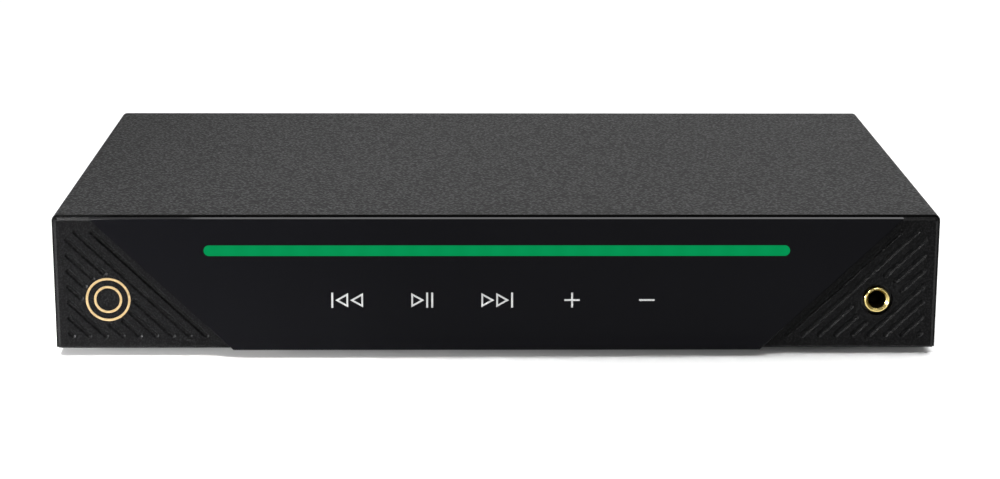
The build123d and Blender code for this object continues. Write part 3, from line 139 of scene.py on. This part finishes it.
def start_material(name):
    """An empty material with its shader, output and object coordinates."""
    material = bpy.data.materials.new(name)
    material.use_nodes = True
    tree = material.node_tree
    tree.nodes.clear()
    shader = add_node(tree, "ShaderNodeBsdfPrincipled")
    output = add_node(tree, "ShaderNodeOutputMaterial")
    tree.links.new(shader.outputs["BSDF"], output.inputs["Surface"])
    place = add_node(tree, "ShaderNodeTexCoord")
    return material, tree, shader, place.outputs["Object"]


def start_group(name, inputs, outputs):
    """An empty shader group with named sockets."""
    group = bpy.data.node_groups.new(name, "ShaderNodeTree")
    for label, kind, value in inputs:
        socket = group.interface.new_socket(label, in_out="INPUT", socket_type=kind)
        if value is not None:
            socket.default_value = value
    for label, kind in outputs:
        group.interface.new_socket(label, in_out="OUTPUT", socket_type=kind)
    return group, add_node(group, "NodeGroupInput"), add_node(group, "NodeGroupOutput")


def build_grain_group():
    """Pebbled powder coat: small rounded bumps of mixed size."""
    group, given, result = start_group(
        "Pebble grain",
        [("Vector", "NodeSocketVector", None), ("Scale", "NodeSocketFloat", 1200.0)],
        [("Height", "NodeSocketFloat"), ("Shade", "NodeSocketFloat")],
    )
    pebbles = add_node(group, "ShaderNodeTexVoronoi", feature="SMOOTH_F1")
    set_inputs(pebbles, Smoothness=0.6, Randomness=1.0)
    ripple = add_node(group, "ShaderNodeTexNoise")
    set_inputs(ripple, Detail=3.0, Roughness=0.6)
    finer = add_node(group, "ShaderNodeMath", operation="MULTIPLY")
    finer.inputs[1].default_value = 1.7
    dome = add_node(group, "ShaderNodeMapRange")
    set_inputs(dome, From_Min=0.05, From_Max=0.75, To_Min=1.0, To_Max=0.0)
    blend = add_node(group, "ShaderNodeMix", data_type="FLOAT")
    blend.inputs[0].default_value = 0.5
    shade = add_node(group, "ShaderNodeMapRange")
    set_inputs(shade, From_Min=0.38, From_Max=0.68)
    for texture in (pebbles, ripple):
        group.links.new(given.outputs["Vector"], texture.inputs["Vector"])
    group.links.new(given.outputs["Scale"], pebbles.inputs["Scale"])
    group.links.new(given.outputs["Scale"], finer.inputs[0])
    group.links.new(finer.outputs[0], ripple.inputs["Scale"])
    group.links.new(pebbles.outputs["Distance"], dome.inputs["Value"])
    group.links.new(dome.outputs["Result"], blend.inputs[2])
    group.links.new(ripple.outputs[0], blend.inputs[3])
    group.links.new(blend.outputs[0], shade.inputs["Value"])
    group.links.new(blend.outputs[0], result.inputs["Height"])
    group.links.new(shade.outputs["Result"], result.inputs["Shade"])
    return group


def build_haze_group():
    """Slow drift over a surface, as handling and moulding leave it."""
    group, given, result = start_group(
        "Handling haze",
        [("Vector", "NodeSocketVector", None), ("Scale", "NodeSocketFloat", 30.0)],
        [("Haze", "NodeSocketFloat")],
    )
    cloud = add_node(group, "ShaderNodeTexNoise")
    set_inputs(cloud, Detail=4.0, Roughness=0.55)
    spread = add_node(group, "ShaderNodeMapRange")
    set_inputs(spread, From_Min=0.3, From_Max=0.7)
    group.links.new(given.outputs["Vector"], cloud.inputs["Vector"])
    group.links.new(given.outputs["Scale"], cloud.inputs["Scale"])
    group.links.new(cloud.outputs[0], spread.inputs["Value"])
    group.links.new(spread.outputs["Result"], result.inputs["Haze"])
    return group


def build_brush_group():
    """Fine lines along one axis, as turning and drawing leave on metal."""
    group, given, result = start_group(
        "Drawn lines",
        [("Vector", "NodeSocketVector", None), ("Stretch", "NodeSocketVector", (1.0, 1.0, 1.0))],
        [("Line", "NodeSocketFloat")],
    )
    stretch = add_node(group, "ShaderNodeVectorMath", operation="MULTIPLY")
    lines = add_node(group, "ShaderNodeTexNoise")
    set_inputs(lines, Scale=1.0, Detail=2.0, Roughness=0.6)
    group.links.new(given.outputs["Vector"], stretch.inputs[0])
    group.links.new(given.outputs["Stretch"], stretch.inputs[1])
    group.links.new(stretch.outputs[0], lines.inputs["Vector"])
    group.links.new(lines.outputs[0], result.inputs["Line"])
    return group


GRAIN = build_grain_group()
HAZE = build_haze_group()
BRUSH = build_brush_group()


def place_group(tree, group, vector, **values):
    """A shared effect placed in a material, with its own values."""
    node = add_node(tree, "ShaderNodeGroup", node_tree=group)
    tree.links.new(vector, node.inputs["Vector"])
    set_inputs(node, **values)
    return node


def mix_colour(tree, mask, low, high):
    """A colour between two, following a mask."""
    mix = add_node(tree, "ShaderNodeMix", data_type="RGBA")
    tree.links.new(mask, mix.inputs[0])
    mix.inputs[6].default_value = (*low, 1.0)
    mix.inputs[7].default_value = (*high, 1.0)
    return mix.outputs[2]


def spread_value(tree, mask, low, high):
    """A value between two, following a mask."""
    spread = add_node(tree, "ShaderNodeMapRange")
    tree.links.new(mask, spread.inputs["Value"])
    set_inputs(spread, To_Min=low, To_Max=high)
    return spread.outputs["Result"]


def raise_relief(tree, shader, height, depth, strength=1.0):
    """Fine relief, with its depth in metres."""
    bump = add_node(tree, "ShaderNodeBump")
    set_inputs(bump, Strength=strength, Distance=depth)
    tree.links.new(height, bump.inputs["Height"])
    tree.links.new(bump.outputs["Normal"], shader.inputs["Normal"])


def grained_paint(name, low, high, rough, scale, depth, specular=0.5):
    """Powder coat or grained moulding."""
    material, tree, shader, place = start_material(name)
    grain = place_group(tree, GRAIN, place, Scale=scale)
    tree.links.new(mix_colour(tree, grain.outputs["Shade"], low, high), shader.inputs["Base Color"])
    tree.links.new(spread_value(tree, grain.outputs["Shade"], *rough), shader.inputs["Roughness"])
    raise_relief(tree, shader, grain.outputs["Height"], depth)
    set_inputs(shader, Specular_IOR_Level=specular)
    return material


def seam_shaded_paint(name, low, high, rough, scale, depth, specular, edge_y, painted_shade_tone):
    """Grained paint with painted shade: a near-black band on the sheet's front edge stands in for the
    shadow in the seam above the frame.
    """
    material, tree, shader, place = start_material(name)
    grain = place_group(tree, GRAIN, place, Scale=scale)
    split = add_node(tree, "ShaderNodeSeparateXYZ")
    tree.links.new(place, split.inputs[0])
    # painted shade: a near-black band along the cover's front edge, standing in for the shadow in the seam
    # above the frame
    edge = add_node(tree, "ShaderNodeMapRange")
    shade_band_end = edge_y + SEAM_SHADE_BAND
    set_inputs(edge, From_Min=shade_band_end - SEAM_SHADE_BAND / 2, From_Max=shade_band_end, To_Min=1.0, To_Max=0.0)
    tree.links.new(split.outputs["Y"], edge.inputs["Value"])
    paint = mix_colour(tree, grain.outputs["Shade"], low, high)
    mix = add_node(tree, "ShaderNodeMix", data_type="RGBA")
    tree.links.new(edge.outputs["Result"], mix.inputs[0])
    tree.links.new(paint, mix.inputs[6])
    mix.inputs[7].default_value = (*painted_shade_tone, 1.0)
    tree.links.new(mix.outputs[2], shader.inputs["Base Color"])
    tree.links.new(spread_value(tree, grain.outputs["Shade"], *rough), shader.inputs["Roughness"])
    raise_relief(tree, shader, grain.outputs["Height"], depth)
    set_inputs(shader, Specular_IOR_Level=specular)
    return material


def polished(name, low, high, rough, specular=0.5, scale=40.0):
    """Smooth moulded or cast surface with a slow drift in gloss."""
    material, tree, shader, place = start_material(name)
    haze = place_group(tree, HAZE, place, Scale=scale)
    tree.links.new(mix_colour(tree, haze.outputs["Haze"], low, high), shader.inputs["Base Color"])
    tree.links.new(spread_value(tree, haze.outputs["Haze"], *rough), shader.inputs["Roughness"])
    set_inputs(shader, Specular_IOR_Level=specular)
    return material


def plated_metal(name, low, high, rough, stretch):
    """Bare or plated metal with fine drawn lines."""
    material, tree, shader, place = start_material(name)
    lines = place_group(tree, BRUSH, place, Stretch=stretch)
    tree.links.new(mix_colour(tree, lines.outputs["Line"], low, high), shader.inputs["Base Color"])
    tree.links.new(spread_value(tree, lines.outputs["Line"], *rough), shader.inputs["Roughness"])
    raise_relief(tree, shader, lines.outputs["Line"], DRAWN_DEPTH)
    set_inputs(shader, Metallic=1.0)
    return material


def lit_strip(name, low, high):
    """A strip lit from behind, faintly brighter in front of each lamp."""
    material, tree, shader, place = start_material(name)
    split = add_node(tree, "ShaderNodeSeparateXYZ")
    tree.links.new(place, split.inputs[0])
    turns = add_node(tree, "ShaderNodeMath", operation="MULTIPLY")
    turns.inputs[1].default_value = 2 * math.pi / LED_PITCH
    wave = add_node(tree, "ShaderNodeMath", operation="COSINE")
    lift = add_node(tree, "ShaderNodeMapRange")
    set_inputs(lift, From_Min=-1.0, From_Max=1.0)
    tree.links.new(split.outputs["X"], turns.inputs[0])
    tree.links.new(turns.outputs[0], wave.inputs[0])
    tree.links.new(wave.outputs[0], lift.inputs["Value"])
    glow = mix_colour(tree, lift.outputs["Result"], low, high)
    tree.links.new(glow, shader.inputs["Emission Color"])
    haze = place_group(tree, HAZE, place, Scale=60.0)
    body = mix_colour(tree, haze.outputs["Haze"], (0.0004, 0.006, 0.002), (0.0006, 0.008, 0.003))
    tree.links.new(body, shader.inputs["Base Color"])
    set_inputs(shader, Emission_Strength=1.0, Roughness=0.35, Specular_IOR_Level=0.0)
    return material


def circuit_board(name, low, high, copper):
    """Solder mask with copper tracks showing through."""
    material, tree, shader, place = start_material(name)
    tracks = add_node(tree, "ShaderNodeTexVoronoi", feature="DISTANCE_TO_EDGE", distance="CHEBYCHEV")
    set_inputs(tracks, Scale=260.0, Randomness=0.8)
    tree.links.new(place, tracks.inputs["Vector"])
    edge = add_node(tree, "ShaderNodeMapRange")
    set_inputs(edge, From_Min=0.02, From_Max=0.06, To_Min=1.0, To_Max=0.0)
    tree.links.new(tracks.outputs["Distance"], edge.inputs["Value"])
    haze = place_group(tree, HAZE, place, Scale=120.0)
    mask = mix_colour(tree, haze.outputs["Haze"], low, high)
    mix = add_node(tree, "ShaderNodeMix", data_type="RGBA")
    tree.links.new(edge.outputs["Result"], mix.inputs[0])
    tree.links.new(mask, mix.inputs[6])
    mix.inputs[7].default_value = (*copper, 1.0)
    tree.links.new(mix.outputs[2], shader.inputs["Base Color"])
    raise_relief(tree, shader, edge.outputs["Result"], TRACK_DEPTH)
    set_inputs(shader, Roughness=0.35)
    return material


def wound_tape(name, low, high, centre):
    """Tape wound round a ring: strips that run out from its middle."""
    material, tree, shader, place = start_material(name)
    shift = add_node(tree, "ShaderNodeMapping")
    shift.inputs["Location"].default_value = tuple(-value for value in centre)
    tree.links.new(place, shift.inputs["Vector"])
    strips = add_node(tree, "ShaderNodeTexGradient", gradient_type="RADIAL")
    tree.links.new(shift.outputs["Vector"], strips.inputs["Vector"])
    turns = add_node(tree, "ShaderNodeMath", operation="MULTIPLY")
    turns.inputs[1].default_value = TAPE_TURNS
    saw = add_node(tree, "ShaderNodeMath", operation="FRACT")
    tree.links.new(strips.outputs[1], turns.inputs[0])
    tree.links.new(turns.outputs[0], saw.inputs[0])
    tree.links.new(mix_colour(tree, saw.outputs[0], low, high), shader.inputs["Base Color"])
    raise_relief(tree, shader, saw.outputs[0], TAPE_DEPTH)
    set_inputs(shader, Roughness=0.3)
    return material


def clear_tube(name, low, high):
    """Clear glass, faintly hazed."""
    material, tree, shader, place = start_material(name)
    haze = place_group(tree, HAZE, place, Scale=200.0)
    tree.links.new(mix_colour(tree, haze.outputs["Haze"], low, high), shader.inputs["Base Color"])
    tree.links.new(spread_value(tree, haze.outputs["Haze"], 0.02, 0.08), shader.inputs["Roughness"])
    set_inputs(shader, Transmission_Weight=0.8, IOR=1.5)
    return material


# Finishes, one for each material slot of the record
transformer_low, transformer_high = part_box("transformer_winding")
transformer_centre = (Vector(transformer_low) + Vector(transformer_high)) / 2
cover_front_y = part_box("top_cover")[0][1]

finishes = {
    "cover_paint": seam_shaded_paint(
        "grained_cover_paint_painted_seam_shade", (0.0034, 0.0034, 0.0035), (0.0235, 0.0235, 0.0241),
        rough=(0.58, 0.42), scale=900.0, depth=0.22 * MM, specular=0.07,
        # painted shade: near-black tone on the cover's front edge, standing in for the seam's shadow
        edge_y=cover_front_y, painted_shade_tone=grey(0.0012),
    ),
    "chassis_paint": grained_paint(
        "satin_chassis_paint", (0.018, 0.018, 0.019), (0.028, 0.028, 0.029),
        rough=(0.58, 0.46), scale=1900.0, depth=0.05 * MM,
    ),
    "frame_plastic": grained_paint(
        "grained_frame_moulding", (0.0007, 0.0007, 0.0008), (0.0085, 0.0085, 0.0088),
        rough=(0.42, 0.28), scale=1500.0, depth=0.08 * MM, specular=0.06,
    ),
    "panel_glass": polished(
        "black_front_glass", (0.0016, 0.0016, 0.0022), (0.0021, 0.0021, 0.0028),
        rough=(0.05, 0.08), specular=0.039, scale=12.0,
    ),
    "light_green": lit_strip("green_light_strip", (0.0006, 0.268, 0.077), (0.0007, 0.282, 0.082)),
    "symbol_white": polished(
        "printed_symbol_white", grey(0.31), grey(0.36), rough=(0.45, 0.6), specular=0.2
    ),
    "badge_gold": plated_metal(
        "badge_gold", (0.34, 0.23, 0.10), (0.58, 0.43, 0.24), (0.26, 0.40), ALONG_X
    ),
    "gilt": plated_metal("gilt_plate", (0.50, 0.38, 0.11), (0.86, 0.71, 0.31), (0.14, 0.26), ALONG_Y),
    "black_screw": plated_metal(
        "black_oxide", (0.025, 0.025, 0.027), (0.05, 0.05, 0.052), (0.35, 0.5), ALONG_X
    ),
    "zinc": plated_metal("zinc_plate", (0.42, 0.42, 0.41), (0.62, 0.62, 0.60), (0.28, 0.42), ALONG_X),
    "foot_rubber": grained_paint(
        "foot_rubber", grey(0.012), grey(0.022),
        rough=(0.85, 0.7), scale=900.0, depth=0.06 * MM, specular=0.25,
    ),
    "black_plastic": grained_paint(
        "black_socket_moulding", grey(0.010), grey(0.016),
        rough=(0.52, 0.40), scale=2200.0, depth=0.03 * MM, specular=0.4,
    ),
    "rocker_plastic": polished("gloss_rocker_moulding", grey(0.010), grey(0.014), rough=(0.18, 0.28)),
    "socket_steel": plated_metal(
        "tinned_steel", (0.45, 0.45, 0.46), (0.66, 0.66, 0.67), (0.25, 0.4), ALONG_Y
    ),
    "white_plastic": polished(
        "white_moulding", (0.68, 0.68, 0.65), (0.78, 0.78, 0.75), rough=(0.35, 0.5)
    ),
    "red_plastic": polished(
        "red_moulding", (0.42, 0.010, 0.012), (0.55, 0.016, 0.018), rough=(0.35, 0.5)
    ),
    "board_green": circuit_board(
        "green_board", (0.006, 0.07, 0.028), (0.010, 0.10, 0.04), copper=(0.02, 0.16, 0.06)
    ),
    "winding_tape": wound_tape(
        "amber_winding_tape", (0.42, 0.24, 0.03), (0.55, 0.34, 0.06), transformer_centre
    ),
    "capacitor_sleeve": polished(
        "capacitor_sleeve", (0.010, 0.014, 0.045), (0.014, 0.02, 0.06), rough=(0.2, 0.3)
    ),
    "heatsink_black": plated_metal("black_heatsink", grey(0.02), grey(0.05), (0.4, 0.55), ALONG_Y),
    "chip_black": grained_paint(
        "chip_moulding", grey(0.010), grey(0.018), rough=(0.6, 0.5), scale=3000.0, depth=0.02 * MM
    ),
    "wire_red": polished(
        "red_wire_sleeve", (0.30, 0.012, 0.012), (0.38, 0.016, 0.016), rough=(0.4, 0.5)
    ),
    "wire_brown": polished(
        "brown_wire_sleeve", (0.12, 0.045, 0.018), (0.16, 0.06, 0.025), rough=(0.4, 0.5)
    ),
    "ribbon_grey": plated_metal("grey_ribbon", grey(0.34), grey(0.46), (0.5, 0.6), ALONG_Y),
    "fuse_glass": clear_tube("fuse_glass", (0.72, 0.78, 0.78), (0.80, 0.85, 0.85)),
}
slot_of = {entry["node"]: entry["material_slot"] for entry in frame["record"]["subparts"]}
for node_name, node in nodes.items():
    node.data.materials.clear()
    node.data.materials.append(finishes[slot_of[node_name]])


# Pieces made here


def keep_mesh(name, mesh, material, body):
    """A finished piece at the origin, riding on a body."""
    piece = bpy.data.objects.new(name, mesh)
    bpy.context.scene.collection.objects.link(piece)
    mesh.materials.clear()
    mesh.materials.append(material)
    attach(piece, body)
    return piece


def build_bar_row_tree():
    """Geometry Nodes: a row of equal bars."""
    tree = bpy.data.node_groups.new("Row of bars", "GeometryNodeTree")
    face = tree.interface
    face.new_socket("Count", in_out="INPUT", socket_type="NodeSocketInt")
    face.new_socket("Start", in_out="INPUT", socket_type="NodeSocketVector")
    face.new_socket("Step", in_out="INPUT", socket_type="NodeSocketVector")
    face.new_socket("Bar size", in_out="INPUT", socket_type="NodeSocketVector")
    face.new_socket("Material", in_out="INPUT", socket_type="NodeSocketMaterial")
    face.new_socket("Geometry", in_out="OUTPUT", socket_type="NodeSocketGeometry")
    given = add_node(tree, "NodeGroupInput")
    result = add_node(tree, "NodeGroupOutput")
    line = add_node(tree, "GeometryNodeMeshLine", mode="OFFSET")
    bar = add_node(tree, "GeometryNodeMeshCube")
    spread = add_node(tree, "GeometryNodeInstanceOnPoints")
    join = add_node(tree, "GeometryNodeRealizeInstances")
    paint = add_node(tree, "GeometryNodeSetMaterial")
    tree.links.new(given.outputs["Count"], line.inputs["Count"])
    tree.links.new(given.outputs["Start"], line.inputs["Start Location"])
    tree.links.new(given.outputs["Step"], line.inputs["Offset"])
    tree.links.new(given.outputs["Bar size"], bar.inputs["Size"])
    tree.links.new(line.outputs["Mesh"], spread.inputs["Points"])
    tree.links.new(bar.outputs["Mesh"], spread.inputs["Instance"])
    tree.links.new(spread.outputs["Instances"], join.inputs["Geometry"])
    tree.links.new(join.outputs["Geometry"], paint.inputs["Geometry"])
    tree.links.new(given.outputs["Material"], paint.inputs["Material"])
    tree.links.new(paint.outputs["Geometry"], result.inputs["Geometry"])
    return tree


BAR_ROW = build_bar_row_tree()


def bake_tree(name, tree, material, body, slot, **values):
    """Runs a Geometry Nodes tree once and keeps its plain mesh."""
    seed = bpy.data.objects.new(name + "_seed", bpy.data.meshes.new(name + "_seed"))
    bpy.context.scene.collection.objects.link(seed)
    modifier = seed.modifiers.new("rule", "NODES")
    modifier.node_group = tree
    inputs = [item for item in tree.interface.items_tree if item.in_out == "INPUT"]
    sockets = {item.name: item.identifier for item in inputs}
    modifier[sockets["Material"]] = material
    for label, value in values.items():
        modifier[sockets[label.replace("_", " ")]] = value
    graph = bpy.context.evaluated_depsgraph_get()
    mesh = bpy.data.meshes.new_from_object(seed.evaluated_get(graph))
    mesh.name = name
    seed.modifiers.clear()
    bpy.data.objects.remove(seed)
    return keep_mesh(name, mesh, material, body)


def add_usb_contacts():
    """Gilt contact strips under each USB tongue."""
    low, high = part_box("usb_tongues")
    count, pitch = 4, 2.2 * MM
    strip = Vector((1.0, 7.5, 0.16)) * MM
    tongue_height = 1.9 * MM
    start_x = (low[0] + high[0]) / 2 - (count - 1) / 2 * pitch
    middle_y = high[1] - 4.2 * MM
    for label, under_z in (("low", low[2]), ("high", high[2] - tongue_height)):
        bake_tree(
            "usb_contacts_" + label, BAR_ROW, finishes["gilt"], "case", "gilt",
            Count=count, Start=(start_x, middle_y, under_z - strip[2] / 2), Step=(pitch, 0.0, 0.0),
            Bar_size=tuple(strip),
        )


def add_drawer_ribs():
    """Finger ribs on the fuse drawer's face."""
    low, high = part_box("fuse_drawer")
    count, pitch = 7, 1.1 * MM
    rib = Vector((0.5, 0.5, 2.4)) * MM
    face_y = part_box("mains_inlet")[1][1] + 1.6 * MM
    start_x = (low[0] + high[0]) / 2 - (count - 1) / 2 * pitch
    rib_z = (low[2] + high[2]) / 2 + 2.2 * MM
    bake_tree(
        "fuse_drawer_ribs", BAR_ROW, finishes["black_plastic"], "fuse_drawer", "black_plastic",
        Count=count, Start=(start_x, face_y + rib[1] / 2, rib_z), Step=(pitch, 0.0, 0.0),
        Bar_size=tuple(rib),
    )


def rocker_place(out, up, side):
    """A point on the rocker in the row frame, tipped as at rest."""
    y = ROCKER_PIVOT.y + out * math.cos(ROCKER_TILT) - up * math.sin(ROCKER_TILT)
    z = ROCKER_PIVOT.z + out * math.sin(ROCKER_TILT) + up * math.cos(ROCKER_TILT)
    return Vector((ROCKER_PIVOT.x + side, y, z)) * MM


def add_rocker_marks():
    """The on bar and the off ring on the rocker's two faces."""
    slope = Vector((ROCKER_TIP[0] - ROCKER_MIDDLE[0], ROCKER_TIP[1]))
    along = slope.normalized()
    normal = Vector((along.y, -along.x))
    shapes = bmesh.new()

    def corner(side, run, lift, half):
        """A point of a mark: run along the face, lift off it, on the upper or lower half."""
        out = ROCKER_MIDDLE[0] + along.x * run + normal.x * lift
        up = (along.y * run + normal.y * lift) * half
        return shapes.verts.new(rocker_place(out, up, side))

    def raised_strip(outer, inner, half, closed):
        """A thin raised strip between two outlines."""
        low, high = -MARK_LIFT, MARK_THICKNESS - MARK_LIFT
        edges = ((outer, low), (outer, high), (inner, high), (inner, low))
        rings = [[corner(side, run, lift, half) for side, run in line] for line, lift in edges]
        count = len(outer)
        for ring, next_ring in zip(rings, rings[1:] + rings[:1]):
            for step in range(count if closed else count - 1):
                after = (step + 1) % count
                shapes.faces.new((ring[step], ring[after], next_ring[after], next_ring[step]))
        if not closed:
            for step in (0, count - 1):
                shapes.faces.new([ring[step] for ring in rings])

    bar_half, bar_start, bar_end = 0.35, 2.2, 5.4
    right_side = [(bar_half, bar_start), (bar_half, bar_end)]
    left_side = [(-bar_half, bar_start), (-bar_half, bar_end)]
    raised_strip(right_side, left_side, 1, False)
    steps, ring_middle, ring_outer, ring_inner = 32, 3.9, 1.6, 1.0
    angles = [2 * math.pi * step / steps for step in range(steps)]
    circle = [(math.cos(angle), math.sin(angle)) for angle in angles]
    outer = [(ring_outer * side, ring_middle + ring_outer * run) for side, run in circle]
    inner = [(ring_inner * side, ring_middle + ring_inner * run) for side, run in circle]
    raised_strip(outer, inner, -1, True)
    bmesh.ops.recalc_face_normals(shapes, faces=shapes.faces)
    mesh = bpy.data.meshes.new("rocker_marks")
    shapes.to_mesh(mesh)
    shapes.free()
    keep_mesh("rocker_marks", mesh, finishes["symbol_white"], "power_rocker")


def add_network_lamps():
    """Two small lamp windows in the corners of the network socket."""
    low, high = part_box("ethernet_socket")
    width, height, reach = 2.6 * MM, 1.5 * MM, 0.12 * MM
    edge = 0.9 * MM
    tints = {
        "green": polished("green_lamp_window", (0.03, 0.30, 0.06), (0.05, 0.42, 0.09), (0.2, 0.35)),
        "amber": polished("amber_lamp_window", (0.55, 0.24, 0.02), (0.70, 0.33, 0.03), (0.2, 0.35)),
    }
    for tint, left in (("green", low[0] + edge), ("amber", high[0] - edge - width)):
        shapes = bmesh.new()
        bmesh.ops.create_cube(shapes, size=1.0)
        bmesh.ops.scale(shapes, vec=(width, 2 * reach, height), verts=shapes.verts)
        middle = (left + width / 2, high[1], high[2] - edge / 2 - height / 2)
        bmesh.ops.translate(shapes, vec=middle, verts=shapes.verts)
        bmesh.ops.bevel(shapes, geom=shapes.edges[:], offset=reach / 2, segments=2, affect="EDGES")
        mesh = bpy.data.meshes.new("network_lamp_" + tint)
        shapes.to_mesh(mesh)
        shapes.free()
        keep_mesh("network_lamp_" + tint, mesh, tints[tint], "case")


add_usb_contacts()
add_drawer_ribs()
add_rocker_marks()
add_network_lamps()

# Floor, lamps and view


def add_floor():
    """A plain pale floor."""
    corner_signs = ((-1, -1), (1, -1), (1, 1), (-1, 1))
    corners = [(FLOOR_REACH * x, FLOOR_REACH * y, 0.0) for x, y in corner_signs]
    mesh = bpy.data.meshes.new("floor")
    mesh.from_pydata(corners, [], [(0, 1, 2, 3)])
    floor = bpy.data.objects.new("floor", mesh)
    bpy.context.scene.collection.objects.link(floor)
    paint = polished("pale_floor", grey(0.86), grey(0.90), rough=(0.7, 0.8), specular=0.2, scale=3.0)
    mesh.materials.append(paint)


def add_sky():
    """An even white surround."""
    world = bpy.data.worlds.new("studio")
    world.use_nodes = True
    set_inputs(world.node_tree.nodes["Background"], Color=(1.0, 1.0, 1.0, 1.0), Strength=SKY_STRENGTH)
    bpy.context.scene.world = world


add_floor()
add_sky()
place_camera()

# Lamps: place, aim, width, height, watts, and the angle of a grid where one narrows the light
add_softbox("key_left", (-0.50, -0.30, 0.05), (-0.05, -0.10, 0.03), 0.12, 0.08, 5.6)
add_softbox("corner_grid", (-0.50, -0.30, 0.04), (-0.135, -0.095, 0.012), 0.05, 0.05, 0.036, 20.0)
add_softbox("overhead", (0.4, 0.35, 1.5), (0.4, 0.35, 0.0), 1.8, 1.4, 29.0)
add_softbox("groove_grid", (-0.415, -0.617, 0.516), (0.13, -0.095, 0.025), 0.10, 0.10, 0.03, 14.0)
add_softbox("bevel_grid", (-0.47, -0.49, 1.45), (-0.15, -0.095, 0.05), 0.10, 0.20, 0.18, 12.0)
add_softbox("floor_grid", (0.20, -0.75, 0.9), (0.17, -0.17, 0.0), 0.3, 0.3, 0.5, 52.0)
add_softbox("back_glow", (0.6, 1.9, 0.40), (0.0, 0.0, 0.03), 2.0, 0.45, 2.4)
add_softbox("back_right", (0.5, 1.7, 1.35), (0.1, 0.0, 0.03), 2.2, 0.6, 12.0)
bpy.context.scene.view_settings.view_transform = "Standard"
